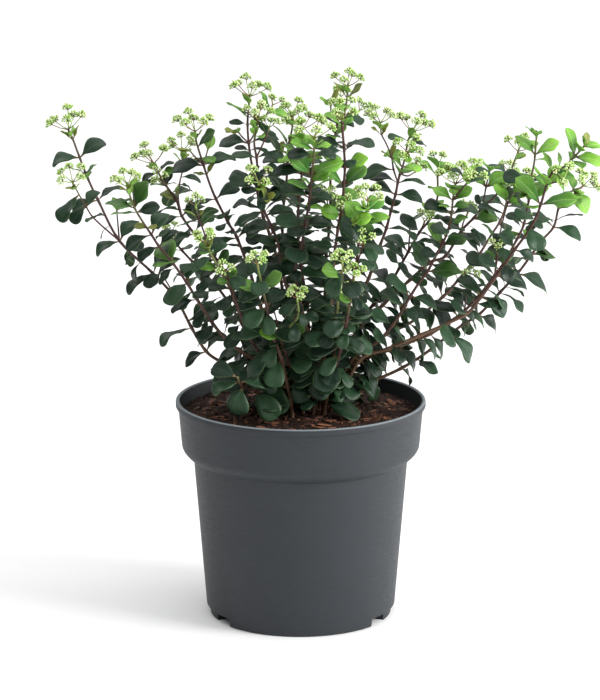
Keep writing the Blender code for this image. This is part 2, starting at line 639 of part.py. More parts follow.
def extend(shape, face, old, new):
    """Extrudes a face that lies on the section old to the section new."""
    made = bmesh.ops.extrude_discrete_faces(shape, faces=[face])["faces"][0]
    for corner in made.verts:
        off = corner.co - old[0]
        place_corner(corner, new, off.dot(old[1]), off.dot(old[2]))
    return made


def sides_of(face):
    """The faces round a face, each with the edge that they share."""
    return [(one, edge) for edge in face.edges for one in edge.link_faces if one != face]


def extend_leaf(shape, face, sections):
    """Extrudes a face on the first section through the rest, and splits opposite sides alike.

    A twisted thin blade whose upper and lower sides were split differently would cross itself.
    """
    for old, new in zip(sections, sections[1:]):
        face = extend(shape, face, old, new)
        for side, edge in sides_of(face):
            along = (edge.verts[1].co - edge.verts[0].co).dot(new[1] + new[2])
            first, last = edge.verts if along > 0 else reversed(edge.verts)
            down = next(one for one in side.edges if last in one.verts and one != edge)
            bmesh.utils.face_split(side, first, down.other_vert(last))


def solid_through(sections):
    """A closed shape through the sections."""
    shape, face = begin(*sections[:2])
    extend_leaf(shape, face, sections[1:])
    bmesh.ops.recalc_face_normals(shape, faces=shape.faces)
    return shape


def off_line(point, before, after):
    """How far a point lies from the line between two others."""
    line = (after - before).normalized()
    off = point - before
    return (off - line * off.dot(line)).length


def shoot_sections(shoot):
    """The shoot's sections, and which point of it each leafy section belongs to."""
    points = shoot["points"]
    sections = []
    leafy_sections = {}
    turn = 0
    for number, point in enumerate(points):
        to_end = len(points) - 1 - number
        traced = shoot["traced"][number - shoot["first"]] if number >= shoot["first"] else ()
        leafy = len(traced) > 2 and (traced[3] >= LEAST_LEAF or to_end < 2)
        way = way_at(points, number)
        offsets = (0,)
        if leafy:
            turn += (traced[4] - turn + 45) % 90 - 45
            offsets = (-LEAF_NODE / 2, LEAF_NODE / 2) if to_end else (-LEAF_NODE, 0)
            leafy_sections[len(sections) + 1] = number
        elif number and to_end and off_line(point, sections[-1][0], points[number + 1]) < LEAST_BEND:
            continue
        half = half_side(shoot, number)
        for offset in offsets:
            middle = point + way * offset
            sections.append((middle, outward_at(way, turn) * half, outward_at(way, turn + 90) * half))
    return sections, leafy_sections


def build_shoot(shoot):
    """The shoot without its leaves, and the faces that they grow from at each leafy point."""
    sections, leafy_sections = shoot_sections(shoot)
    shape, face = begin(*sections[:2])
    roots = {}
    for number in range(2, len(sections)):
        face = extend(shape, face, sections[number - 1], sections[number])
        if number in leafy_sections:
            roots[leafy_sections[number]] = [side for side, edge in sides_of(face)]
    return shape, roots


def leaf_sections(leaf, length, root, along, normal, more=0):
    """Sections along a bent leaf from its outline. more is what it is larger by on each side."""
    side = normal.cross(along)
    curl = math.radians(leaf["bend"]) / length
    sections = []
    for share, wide in LONG_OUTLINE if length > LONG_LEAF else OUTLINE:
        turn = curl * length * share
        middle = root + along * (math.sin(turn) / curl) - normal * ((1 - math.cos(turn)) / curl)
        facing = normal * math.cos(turn) + along * math.sin(turn)
        half_width = length * leaf["width"] * wide / 2 + more
        sections.append((middle, side * half_width, facing * (LEAF_THICKNESS / 2 + more)))
    return sections


def leaf_frame(way, turn, opening, roll):
    """The way a leaf points and the way its upper face looks, which is up and to the front."""
    outward = outward_at(way, turn)
    along = way * math.cos(math.radians(opening)) + outward * math.sin(math.radians(opening))
    normal = (way - along * way.dot(along)).normalized() + UP * LEAF_TO_LIGHT - VIEW * roll
    return along, (normal - along * normal.dot(along)).normalized()


def place_leaf(room, number, shoot, place, half_turn, draw):
    """The leaf's sections from its root where it keeps clear of all else, or None."""
    leaf, length, turn = shoot["traced"][place - shoot["first"]][2:]
    turn += half_turn
    way = way_at(shoot["points"], place)
    half = half_side(shoot, place)
    outward = outward_at(way, turn)
    root = shoot["points"][place] + outward * half
    turn += draw.uniform(-LEAF_SPREAD, LEAF_SPREAD)
    opening = leaf["open"] + draw.uniform(-LEAF_SPREAD, LEAF_SPREAD)
    roll = draw.uniform(*LEAF_TO_FRONT) * leaf["open"] / OLD["open"]
    for more_turn, lift, shorter in TRIES:
        along, normal = leaf_frame(way, turn + more_turn, opening + lift, roll)
        edgewise = way.cross(outward) * half
        if edgewise.dot(normal.cross(along)) < 0:
            edgewise.negate()
        root_section = (root, edgewise, way * LEAF_NODE / 2)
        size = (leaf, length * shorter * MM, root, along, normal)
        if has_room(room, number, root_section, leaf_sections(*size, more=LEAF_CLEARANCE)):
            return [root_section] + leaf_sections(*size)
    return None


def has_room(room, number, root_section, sections):
    """Whether a leaf of this stem keeps clear of itself, of all else and of its own stem past its root."""
    near_root = tuple(a.lerp(b, LEAF_FREE) for a, b in zip(root_section, sections[0]))
    own = ("stem", number)
    whole = solid_through([root_section] + sections)
    blade = solid_through([near_root] + sections)
    crossed = room.crossed(whole) - {own} or own in room.crossed(blade)
    crossed = crossed or crosses_itself(whole) or crosses_itself(blade)
    whole.free()
    blade.free()
    return not crossed


def crosses_itself(shape):
    tree = BVHTree.FromBMesh(shape)
    shape.faces.ensure_lookup_table()
    return any(
        not set(shape.faces[one].verts) & set(shape.faces[other].verts)
        for one, other in tree.overlap(tree)
    )


def box_of(shape):
    low = Vector([min(corner.co[axis] for corner in shape.verts) for axis in range(3)])
    high = Vector([max(corner.co[axis] for corner in shape.verts) for axis in range(3)])
    return low, high


class Room:
    """The space already taken, piece by piece, so that what grows later can keep clear of it."""

    def __init__(self):
        self.pieces = []

    def take(self, owner, shape):
        self.pieces.append((owner, *box_of(shape), BVHTree.FromBMesh(shape)))

    def crossed(self, shape):
        """The owners of the pieces that the shape crosses."""
        low, high = box_of(shape)
        tree = BVHTree.FromBMesh(shape)
        return {
            owner for owner, other_low, other_high, other in self.pieces
            if all(low[i] <= other_high[i] and high[i] >= other_low[i] for i in range(3))
            and tree.overlap(other)
        }


def move_face(shape, face, place):
    """Extrudes a face and puts each new corner where place says."""
    made = bmesh.ops.extrude_discrete_faces(shape, faces=[face])["faces"][0]
    for corner in made.verts:
        corner.co = place(corner.co)
    return made


def grow_ray(shape, face, end, way, axis, size):
    """A ray from a face of the hub, opening at its end into a cluster with its buds standing out."""
    middle = face.calc_center_median()
    thin = RAY_RADIUS / (face.verts[0].co - middle).length
    square_on = face.normal.rotation_difference(way)
    face = move_face(shape, face, lambda co: end + square_on @ (co - middle) * thin)
    upright = (way + axis).normalized()
    level = way.rotation_difference(upright)
    cluster = size["cluster"]
    wide = cluster / 2 / RAY_RADIUS
    rim = end + upright * cluster * CLUSTER_HEIGHT
    face = move_face(shape, face, lambda co: rim + level @ (co - end) * wide)
    for side, edge in sides_of(face):
        bud = bmesh.ops.poke(shape, faces=[side])["verts"][0]
        outward = bud.co - rim
        outward -= upright * outward.dot(upright)
        bud.co = rim + outward.normalized() * cluster * SIDE_BUD_OUT + upright * SIDE_BUD_UP
    top = bmesh.ops.poke(shape, faces=[face])["verts"][0]
    top.co += upright * TOP_BUD_UP


def ray_ways(size, sides, axis, draw):
    """A way for each side of the hub: evenly round it, but one nearly upright in a large head."""
    around = size["rays"] - size["upright"]
    step = 360 / around
    ways = []
    for number, side in enumerate(sides):
        outward = (side.normal - axis * side.normal.dot(axis)).normalized()
        tilt = UPRIGHT_TILT
        if number < around:
            tilt = size["spread"] * draw.uniform(*RAY_TILTS)
            even = (step - 360 / size["rays"]) * (number - (around - 1) / 2)
            aside = math.radians(even + draw.uniform(-RAY_ASIDE, RAY_ASIDE))
            outward = Matrix.Rotation(aside, 3, axis) @ outward
        ways.append(axis * math.cos(math.radians(tilt)) + outward * math.sin(math.radians(tilt)))
    return ways


def flower_head(tip, stem_way, size, draw, sunk):
    """A flower head on a stem's tip: its hub, its rays and their bud clusters in one shape."""
    axis = (stem_way + UP * HEAD_TO_LIGHT).normalized()
    frame = axis.to_track_quat("Z", "Y").to_matrix() @ Matrix.Rotation(draw.uniform(0, math.tau), 3, "Z")
    shape = bmesh.new()
    bmesh.ops.create_cone(
        shape, cap_ends=True, segments=size["rays"], radius1=HUB_RADIUS, radius2=0, depth=HUB_RADIUS,
        matrix=Matrix.Translation(tip + axis * HUB_LENGTH) @ frame.to_4x4(),
    )
    bmesh.ops.remove_doubles(shape, verts=shape.verts, dist=MERGE)
    shape.normal_update()
    foot = min(shape.faces, key=lambda face: face.normal.dot(axis))
    sides = [face for face in shape.faces if face != foot]
    sides.sort(key=lambda face: math.atan2(face.normal.dot(frame.col[1]), face.normal.dot(frame.col[0])))
    middle = foot.calc_center_median()
    for face, way in zip(sides, ray_ways(size, sides, axis, draw)):
        end = middle + way * size["length"] * draw.uniform(*RAY_LENGTHS)
        grow_ray(shape, face, end, way, axis, size)
    lean = axis.rotation_difference(stem_way)
    move_face(shape, foot, lambda co: tip - stem_way * sunk + lean @ (co - middle) * FOOT_SHARE)
    bmesh.ops.recalc_face_normals(shape, faces=shape.faces)
    return shape


def take_holders(room, holders):
    for holder in holders:
        shape = bmesh.new()
        shape.from_object(holder, bpy.context.evaluated_depsgraph_get())
        room.take("holder", shape)
        shape.free()


def grow_heads(room, stems):
    """Gives every bloom its space before any leaf. The small heads are listed with their stems."""
    heads = []
    small_heads = [[] for stem in stems]
    for number, shoots in enumerate(stems):
        draw = random.Random(number)
        for shoot in shoots:
            if shoot["head"] is None:
                continue
            tip = shoot["points"][-1]
            way = (tip - shoot["points"][-2]).normalized()
            if shoot["head"] is SMALL:
                shape = flower_head(tip, way, SMALL, draw, SMALL_HEAD_SUNK)
                small_heads[number].append(shape)
            else:
                shape = flower_head(tip + way * GAP, way, shoot["head"], draw, 0)
                heads.append(shape)
            room.take("head", shape)
    return heads, small_heads


def add_leaves(room, stems, built):
    """Extrudes opposite pairs of leaves from the stems' faces, leaving out what has no room.

    The stems in front come first, because their leaves show most.
    """
    front_first = sorted(range(len(stems)), key=lambda number: stems[number][0]["points"][-1].y)
    for number in front_first:
        draw = random.Random(FIRST_LEAF_SEED + number)
        for shoot, (shape, roots) in zip(stems[number], built[number]):
            for place, faces in roots.items():
                for half_turn in (0, 180):
                    sections = place_leaf(room, number, shoot, place, half_turn, draw)
                    if sections is None:
                        continue
                    leaf = solid_through(sections)
                    room.take("leaf", leaf)
                    leaf.free()
                    root = sections[0][0]
                    face = min(faces, key=lambda one: (one.calc_center_median() - root).length)
                    faces.remove(face)
                    extend_leaf(shape, face, sections)


def make_stems(built, small_heads, parts):
    green = material("Evergreen leaf", (0.020, 0.060, 0.022), 0.45)
    for number, shoots in enumerate(built):
        pieces = [shape for shape, roots in shoots]
        for shape in pieces:
            bmesh.ops.recalc_face_normals(shape, faces=shape.faces)
        stem = mesh_object(f"leafy_stem_{number + 1:02d}", pieces[0], parts)
        stem.data.materials.append(green)
        branches = bpy.data.collections.new("Branches")
        for shape in pieces[1:] + small_heads[number]:
            mesh_object("branch", shape, branches).data.materials.append(green)
        if branches.objects:
            join_all(stem, branches)


def make_heads(heads, parts):
    pale = material("Pale green buds", (0.350, 0.480, 0.150), 0.6)
    for number, shape in enumerate(heads):
        head = mesh_object(f"flower_head_{number + 1:02d}", shape, parts)
        head.data.materials.append(pale)


def main():
    for obj in list(bpy.data.objects):
        bpy.data.objects.remove(obj)
    parts = new_collection("Potted laurustinus", bpy.context.scene.collection)
    cutters = new_collection("Cutters", bpy.context.scene.collection)
    pot = make_pot(parts, cutters)
    soil = make_soil([(foot[0] * MM, foot[1] * MM) for foot, shoots in STEMS], parts, cutters)

    room = Room()
    take_holders(room, (pot, soil))
    stems = [grow_stem(stem) for stem in STEMS]
    built = [[build_shoot(shoot) for shoot in shoots] for shoots in stems]
    for number, shoots in enumerate(built):
        for shape, roots in shoots:
            room.take(("stem", number), shape)
    heads, small_heads = grow_heads(room, stems)
    add_leaves(room, stems, built)
    make_stems(built, small_heads, parts)
    make_heads(heads, parts)


main()
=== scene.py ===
"""Looks of the potted laurustinus: a young evergreen shrub in a 23 cm nursery container.

Metres, +Z up, the front of the plant towards -Y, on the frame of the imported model.
"""

import json
import math
import random

import bmesh
import bpy
from mathutils import Matrix, Vector, noise
from mathutils.kdtree import KDTree

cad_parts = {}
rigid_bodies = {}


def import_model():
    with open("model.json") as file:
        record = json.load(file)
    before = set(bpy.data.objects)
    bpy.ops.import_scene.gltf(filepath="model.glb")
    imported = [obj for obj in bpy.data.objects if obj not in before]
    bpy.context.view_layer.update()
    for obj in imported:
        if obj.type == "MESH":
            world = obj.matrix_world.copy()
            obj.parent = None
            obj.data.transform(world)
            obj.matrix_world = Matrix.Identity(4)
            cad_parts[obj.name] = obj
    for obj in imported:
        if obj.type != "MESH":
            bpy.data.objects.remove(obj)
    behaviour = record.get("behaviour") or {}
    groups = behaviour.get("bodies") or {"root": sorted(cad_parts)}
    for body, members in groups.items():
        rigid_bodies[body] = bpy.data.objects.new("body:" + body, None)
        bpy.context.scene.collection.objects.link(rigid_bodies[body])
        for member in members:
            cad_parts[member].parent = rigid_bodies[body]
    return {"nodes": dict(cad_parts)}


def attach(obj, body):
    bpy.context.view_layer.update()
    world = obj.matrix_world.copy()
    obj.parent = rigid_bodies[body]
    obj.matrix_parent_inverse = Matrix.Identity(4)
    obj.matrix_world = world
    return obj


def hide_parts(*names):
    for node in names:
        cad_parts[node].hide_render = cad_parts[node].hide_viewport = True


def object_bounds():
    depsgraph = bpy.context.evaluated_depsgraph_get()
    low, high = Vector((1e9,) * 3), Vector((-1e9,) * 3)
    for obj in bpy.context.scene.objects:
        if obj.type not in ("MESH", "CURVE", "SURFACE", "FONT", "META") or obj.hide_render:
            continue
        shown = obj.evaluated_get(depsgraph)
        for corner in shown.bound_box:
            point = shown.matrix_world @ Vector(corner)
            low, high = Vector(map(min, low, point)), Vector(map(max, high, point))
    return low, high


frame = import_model()
cad_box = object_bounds()

# Camera
# The photo is taken from the front with a long lens, from 3 m away and a little under a metre up,
# so the pot's mouth is seen as a narrow ellipse.
EYE = Vector((0, -3, 0.963))
LOOKING_DOWN = 0.234
LENS = 173
SENSOR = 36
PHOTO_HEIGHT = 700
LEFT_OF_MIDDLE = 0.7
FARTHEST = 30

camera = bpy.data.objects.new("camera", bpy.data.cameras.new("camera"))
camera.data.lens = LENS
camera.data.sensor_width = SENSOR
camera.data.shift_x = -LEFT_OF_MIDDLE / PHOTO_HEIGHT
camera.data.clip_end = FARTHEST
camera.location = EYE
camera.rotation_euler = (math.pi / 2 - LOOKING_DOWN, 0, 0)
bpy.context.scene.collection.objects.link(camera)
bpy.context.scene.camera = camera

# Floor and light
# A white studio: a matt painted floor under a bright ceiling, with a large soft light from the
# right, a low one beside it for the pot and a weak one from behind on the left. The room round it
# is brighter on the right.
MM = 0.001
FLOOR_SIDE = 12
ROLLER_MARK = 11.1 * MM
LIGHTS = (
    ("key_light", (2.8, -1.2, 1.7), 1.4, 92),
    ("side_light", (2.4, 0.3, 0.5), 0.8, 16),
    ("rim_light", (-1.6, 1.6, 1.6), 1.0, 5),
)
AIM = Vector((0, 0, 0.25))
ROOM_LEFT = 0.02
ROOM_RIGHT = 0.55
CEILING = 1.02


def linear(code):
    """The linear colour, with alpha, of an sRGB colour written as #rrggbb."""
    channels = []
    for start in (1, 3, 5):
        value = int(code[start:start + 2], 16) / 255
        channels.append(value / 12.92 if value <= 0.04045 else ((value + 0.055) / 1.055) ** 2.4)
    return (*channels, 1)


def fill(tree, node, inputs):
    """Gives each input a value, a colour written as #rrggbb, or the output of another node."""
    for name, value in inputs.items():
        if isinstance(value, bpy.types.NodeSocket):
            tree.links.new(value, node.inputs[name])
        else:
            node.inputs[name].default_value = linear(value) if isinstance(value, str) else value


def add(tree, kind, *values, output=0, **named):
    """Adds a shader node with its inputs, in order or by name, and settings. Gives one output."""
    made = tree.nodes.new("ShaderNode" + kind)
    inputs = dict(enumerate(values))
    for name, value in named.items():
        if name in made.inputs:
            inputs[name] = value
        else:
            setattr(made, name, value)
    fill(tree, made, inputs)
    return made.outputs[output]


def new_material(name):
    """A material with its node tree and its Principled shader."""
    made = bpy.data.materials.new(name)
    made.use_nodes = True
    return made, made.node_tree, made.node_tree.nodes["Principled BSDF"]


# Rolled on: matt, with marks so shallow that the floor looks even
paint, tree, shader = new_material("Matt white floor paint")
place = add(tree, "TexCoord", output="Object")
roller = add(tree, "TexNoise", Vector=place, Scale=1 / ROLLER_MARK, Detail=4)
relief = add(tree, "Bump", Height=roller, Strength=0.1, Distance=0.2 * MM)
fill(tree, shader, {"Base Color": "#fcfcfc", "Roughness": 0.85, "Specular IOR Level": 0.1, "Normal": relief})

floor_mesh = bpy.data.meshes.new("floor")
corners = [(x * FLOOR_SIDE / 2, y * FLOOR_SIDE / 2, 0) for x, y in ((-1, -1), (1, -1), (1, 1), (-1, 1))]
floor_mesh.from_pydata(corners, [], [(0, 1, 2, 3)])
floor_mesh.materials.append(paint)
floor = bpy.data.objects.new("floor", floor_mesh)
bpy.context.scene.collection.objects.link(floor)

for name, spot, size, power in LIGHTS:
    lamp = bpy.data.objects.new(name, bpy.data.lights.new(name, "AREA"))
    lamp.data.size = size
    lamp.data.energy = power
    lamp.location = spot
    lamp.rotation_euler = (AIM - Vector(spot)).to_track_quat("-Z", "Y").to_euler()
    bpy.context.scene.collection.objects.link(lamp)

world = bpy.data.worlds.new("white studio")
world.use_nodes = True
tree = world.node_tree
ray_way = add(tree, "TexCoord", output="Generated")
across = add(tree, "SeparateXYZ", ray_way, output="X")
upward = add(tree, "SeparateXYZ", ray_way, output="Z")
# A map range takes a value, the range that it lies in and the range to turn this into
walls = add(tree, "MapRange", across, -0.8, 0.9, ROOM_LEFT, ROOM_RIGHT)
ceiling = add(tree, "MapRange", upward, 0.35, 0.65, 0, CEILING)
room = add(tree, "Math", walls, ceiling, operation="ADD")
# The wall behind is lit to plain white
seen = add(tree, "LightPath", output="Is Camera Ray")
strength = add(tree, "Math", seen, room, operation="MAXIMUM")
fill(tree, tree.nodes["Background"], {"Color": "#ffffff", "Strength": strength})
bpy.context.scene.world = world
bpy.context.scene.view_settings.view_transform = "Standard"

# Pot
# A nursery container injection-moulded in dark blue-grey polypropylene, 2 mm thick: a rolled lip, a
# deep collar with a crease under it, a tapered body, and a foot ring with notches and drain holes.
POT_HEIGHT = 202 * MM
RIM_RADIUS = 115 * MM
RIM_DEPTH = 5.5 * MM
RIM_STAND_OUT = 1.8 * MM
RIM_ROUND = 1.7 * MM
WALL = 2.0 * MM
COLLAR_FOOT_RADIUS = 109.4 * MM
COLLAR_FOOT_HEIGHT = 158 * MM
CREASE_RADIUS = 98.8 * MM
CREASE_HEIGHT = 148 * MM
SHOULDER_OUTER = (2.9 * MM, 4.5 * MM)
SHOULDER_LOWER = (3.2 * MM, 1.6 * MM)
SHOULDER_ROUND = 2.4 * MM
SHOULDER_INNER = (2.2 * MM, 3 * MM)
BASE_RADIUS = 86.8 * MM
FLOOR_UNDERSIDE = 8.3 * MM
FOOT_WIDTH = 13 * MM
FOOT_ROUND = 3.2 * MM
SIDE_FOOT_INSET = 2.8 * MM
PAD_RADIUS = 30 * MM
SMALL_ROUND = 0.5 * MM
MOST_ROUND = 0.49
ROUND_STEPS = 5
FRONT_FOOT_HALF_ANGLE = 48.4
SIDE_FOOT_HALF_ANGLE = 24.7
SIDE_FOOT_CUT_SPARE = 1
DRAIN_RADIUS = 5 * MM
DRAIN_PLACE_RADIUS = 62 * MM
DRAIN_SIDES = 24
POT_STEPS = 180
MERGE = 0.01 * MM
CUTTER_STEP = 2
CUTTER_SPARE = 8 * MM
SHARP_ANGLE = 40
LIP_HIGHLIGHT_BAND = (1.1 * MM, 0.3 * MM)
BLOTCH = 35.7 * MM
SCUFF = 8.33 * MM
SCUFF_STRETCH = 9
MOULD_GRAIN = 0.455 * MM


def smooth(obj):
    """Shades a piece smooth, up to the angle from which an edge looks sharp."""
    obj.data.shade_smooth()
    obj.data.set_sharp_from_angle(angle=math.radians(SHARP_ANGLE))


def new_piece(name, mesh, *materials):
    """A piece of the object from a mesh, riding on the only body."""
    made = bpy.data.objects.new(name, mesh)
    for material in materials:
        mesh.materials.append(material)
    bpy.context.scene.collection.objects.link(made)
    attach(made, "root")
    return made


def polar(radius, angle, height=0.0):
    """The point at this radius and angle about the pot's axis."""
    return Vector((radius * math.cos(angle), radius * math.sin(angle), height))


def collar_radius(height):
    """Outer radius of the pot between its shoulder and its rim."""
    share = (height - COLLAR_FOOT_HEIGHT) / (POT_HEIGHT - COLLAR_FOOT_HEIGHT)
    return COLLAR_FOOT_RADIUS + (RIM_RADIUS - RIM_STAND_OUT - COLLAR_FOOT_RADIUS) * share


def wall_radius(height):
    """Outer radius of the pot below its crease."""
    return BASE_RADIUS + (CREASE_RADIUS - BASE_RADIUS) * height / CREASE_HEIGHT


def rounded(corners):
    """The profile through (radius, height, rounding) corners, each worn round by its rounding."""
    profile = []
    for number, (radius, height, rounding) in enumerate(corners):
        corner = Vector((radius, height))
        if not rounding:
            profile.append(corner)
            continue
        before = Vector(corners[number - 1][:2]) - corner
        after = Vector(corners[number + 1][:2]) - corner
        first = corner + before.normalized() * min(rounding, before.length * MOST_ROUND)
        last = corner + after.normalized() * min(rounding, after.length * MOST_ROUND)
        for step in range(ROUND_STEPS + 1):
            share = step / ROUND_STEPS
            profile.append(first.lerp(corner, share).lerp(corner.lerp(last, share), share))
    return profile


def cutter(name, build, spot=(0, 0, 0)):
    """A hidden shape to cut the pot with, from what build adds to an empty bmesh."""
    shape = bmesh.new()
    build(shape)
    bmesh.ops.recalc_face_normals(shape, faces=shape.faces)
    mesh = bpy.data.meshes.new(name)
    shape.to_mesh(mesh)
    shape.free()
    made = bpy.data.objects.new(name, mesh)
    made.location = spot
    cutters.objects.link(made)


def ring_piece(inner_radius, start, sweep):
    """Builds a piece of a ring as high as the feet, from the angle start to start + sweep."""
    steps = max(2, round(sweep / CUTTER_STEP))

    def build(shape):
        outline = []
        for radius, order in ((inner_radius, 1), (BASE_RADIUS + CUTTER_SPARE, -1)):
            for step in range(steps + 1)[::order]:
                angle = math.radians(start + sweep * step / steps)
                outline.append(shape.verts.new(polar(radius, angle, -CUTTER_SPARE)))
        raised = bmesh.ops.extrude_face_region(shape, geom=[shape.faces.new(outline)])["geom"]
        corners = [item for item in raised if isinstance(item, bmesh.types.BMVert)]
        bmesh.ops.translate(shape, verts=corners, vec=(0, 0, FLOOR_UNDERSIDE + CUTTER_SPARE))

    return build


def drain(shape):
    """Builds a round hole through the pot's floor."""
    bore = {"radius1": DRAIN_RADIUS, "radius2": DRAIN_RADIUS, "depth": 4 * WALL}
    bmesh.ops.create_cone(shape, cap_ends=True, segments=DRAIN_SIDES, **bore)


def under_shoulder():
    """The inner wall's corners at the shoulder, from below."""
    inward, down = SHOULDER_INNER
    return [
        (CREASE_RADIUS - WALL, CREASE_HEIGHT + WALL / 2, SHOULDER_ROUND),
        (COLLAR_FOOT_RADIUS - WALL - inward, COLLAR_FOOT_HEIGHT - down, SHOULDER_ROUND),
        (collar_radius(COLLAR_FOOT_HEIGHT + down) - WALL, COLLAR_FOOT_HEIGHT + down, SHOULDER_ROUND),
    ]


floor_top = FLOOR_UNDERSIDE + WALL
under_rim = POT_HEIGHT - RIM_DEPTH
foot_inner = BASE_RADIUS - FOOT_WIDTH
pot_profile = rounded([
    (0, floor_top, 0),
    (wall_radius(floor_top) - WALL, floor_top, FOOT_ROUND),
    *under_shoulder(),
    (collar_radius(POT_HEIGHT) - WALL, POT_HEIGHT, RIM_ROUND),
    (RIM_RADIUS, POT_HEIGHT, RIM_ROUND),
    (RIM_RADIUS, under_rim, SMALL_ROUND),
    (collar_radius(under_rim), under_rim, SMALL_ROUND),
    (COLLAR_FOOT_RADIUS, COLLAR_FOOT_HEIGHT, SHOULDER_ROUND),
    (COLLAR_FOOT_RADIUS - SHOULDER_OUTER[0], COLLAR_FOOT_HEIGHT - SHOULDER_OUTER[1], SHOULDER_ROUND),
    (CREASE_RADIUS + SHOULDER_LOWER[0], CREASE_HEIGHT + SHOULDER_LOWER[1], SHOULDER_ROUND),
    (CREASE_RADIUS, CREASE_HEIGHT, SMALL_ROUND),
    (BASE_RADIUS, 0, FOOT_ROUND),
    (foot_inner, 0, SMALL_ROUND),
    (foot_inner - WALL, FLOOR_UNDERSIDE, SMALL_ROUND),
    (PAD_RADIUS + WALL, FLOOR_UNDERSIDE, SMALL_ROUND),
    (PAD_RADIUS, 0, SMALL_ROUND),
    (0, 0, 0),
])
pot_mesh = bpy.data.meshes.new("pot")
pot_edges = [(number, number + 1) for number in range(len(pot_profile) - 1)]
pot_mesh.from_pydata([(radius, 0, height) for radius, height in pot_profile], pot_edges, [])

# Satin, with faint blotches and level scuffs. A thin pale band along the top of the lip is a painted
# highlight. The mould's grain is finer in life, and is drawn at half a millimetre to dull the shine
plastic, tree, shader = new_material("Moulded polypropylene")
place = add(tree, "TexCoord", output="Object")
height = add(tree, "SeparateXYZ", place, output="Z")
cloud = add(tree, "TexNoise", Vector=place, Scale=1 / BLOTCH, Detail=3)
body = add(tree, "MixRGB", cloud, "#20252a", "#272c31")
# Painted highlight: a thin pale silver band along the top edge of the lip
lip_highlight_mask = add(tree, "MapRange", height, POT_HEIGHT - LIP_HIGHLIGHT_BAND[0], POT_HEIGHT - LIP_HIGHLIGHT_BAND[1], 0, 0.8)
lip_highlighted = add(tree, "MixRGB", lip_highlight_mask, body, "#8f989e")
stretched = add(tree, "Mapping", Vector=place, Scale=(1, 1, SCUFF_STRETCH))
scuff = add(tree, "TexNoise", Vector=stretched, Scale=1 / SCUFF, Detail=5)
gloss = add(tree, "MapRange", scuff, 0.35, 0.7, 0.50, 0.64)
grain = add(tree, "TexNoise", Vector=place, Scale=1 / MOULD_GRAIN, Detail=2)
relief = add(tree, "Bump", Height=grain, Strength=0.25, Distance=0.08 * MM)
fill(tree, shader, {"Base Color": lip_highlighted, "Roughness": gloss, "IOR": 1.49, "Normal": relief})

pot = new_piece("pot", pot_mesh, plastic)
turn = pot.modifiers.new("Turn", "SCREW")
turn.angle = math.tau
turn.steps = POT_STEPS
turn.render_steps = POT_STEPS
turn.use_merge_vertices = True
turn.merge_threshold = MERGE
cutters = bpy.data.collections.new("pot cutters")
notch_sweep = 90 - FRONT_FOOT_HALF_ANGLE - SIDE_FOOT_HALF_ANGLE
side_sweep = SIDE_FOOT_HALF_ANGLE + SIDE_FOOT_CUT_SPARE
inset_radius = BASE_RADIUS - SIDE_FOOT_INSET
for middle in (0, 180):
    cutter("side_foot_cutter", ring_piece(inset_radius, middle - side_sweep, 2 * side_sweep))
    for side in (-1, 1):
        notch_middle = middle + side * (SIDE_FOOT_HALF_ANGLE + notch_sweep / 2)
        notch_start = notch_middle - notch_sweep / 2
        cutter("notch_cutter", ring_piece(foot_inner - 2 * WALL, notch_start, notch_sweep))
        cutter("drain_cutter", drain, polar(DRAIN_PLACE_RADIUS, math.radians(notch_middle), FLOOR_UNDERSIDE))
bpy.context.scene.collection.children.link(cutters)
cut = pot.modifiers.new("Feet and drain holes", "BOOLEAN")
cut.operation = "DIFFERENCE"
cut.operand_type = "COLLECTION"
cut.collection = cutters
whole = bpy.data.meshes.new_from_object(pot.evaluated_get(bpy.context.evaluated_depsgraph_get()))
pot.modifiers.clear()
for shape in list(cutters.objects):
    bpy.data.objects.remove(shape)
bpy.data.collections.remove(cutters)
# The cut gives the same points and faces each time, but in any order, so they are sorted
order = sorted(range(len(whole.vertices)), key=lambda number: tuple(whole.vertices[number].co))
places = {number: place for place, number in enumerate(order)}
faces = []
for face in whole.polygons:
    ring = [places[number] for number in face.vertices]
    first = ring.index(min(ring))
    faces.append(ring[first:] + ring[:first])
pot_mesh.clear_geometry()
pot_mesh.from_pydata([whole.vertices[number].co for number in order], [], sorted(faces))
bpy.data.meshes.remove(whole)
smooth(pot)
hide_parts("nursery_pot")

# Potting soil
# Moist peat with bark, filled to a little below the lip and slightly domed. Its surface is crumbled.
GAP = 0.3 * MM
SOIL_HEIGHT = 189 * MM
SOIL_DOME = 4 * MM
SOIL_RELIEF = 1.6 * MM
COARSE_WAVES = (0.17, 0.13)
COARSE_STARTS = (0.9, -0.4)
FINE_WAVES = (0.41, -0.23, 0.11, 0.37)
COARSE_SHARE = 0.6
CRUMBLE = 1.1 * MM
CRUMBLE_SIZE = 5 * MM
CRUMBLE_ROUGH = 0.9
CRUMBLE_FINER = 2.2
CRUMBLE_LAYERS = 4
SOIL_RINGS = 72
FIRST_RING = 0.2
SOIL_STEPS = 216
PEAT_LUMP = 5.56 * MM
PEAT_FIBRE = 2.38 * MM


def soil_top(across, depth):
    """Height of the soil: its dome and its crumbled surface, by crossing waves."""
    x = across / MM
    y = depth / MM
    x_start, y_start = COARSE_STARTS
    coarse = math.sin(COARSE_WAVES[0] * x + x_start) * math.cos(COARSE_WAVES[1] * y + y_start)
    fine = math.sin(FINE_WAVES[0] * x + FINE_WAVES[1] * y) * math.cos(FINE_WAVES[2] * x + FINE_WAVES[3] * y)
    relief = SOIL_RELIEF * (COARSE_SHARE * coarse + (1 - COARSE_SHARE) * fine)
    spread = math.hypot(across, depth) / collar_radius(SOIL_HEIGHT)
    return SOIL_HEIGHT + SOIL_DOME * (1 - spread ** 2) + relief


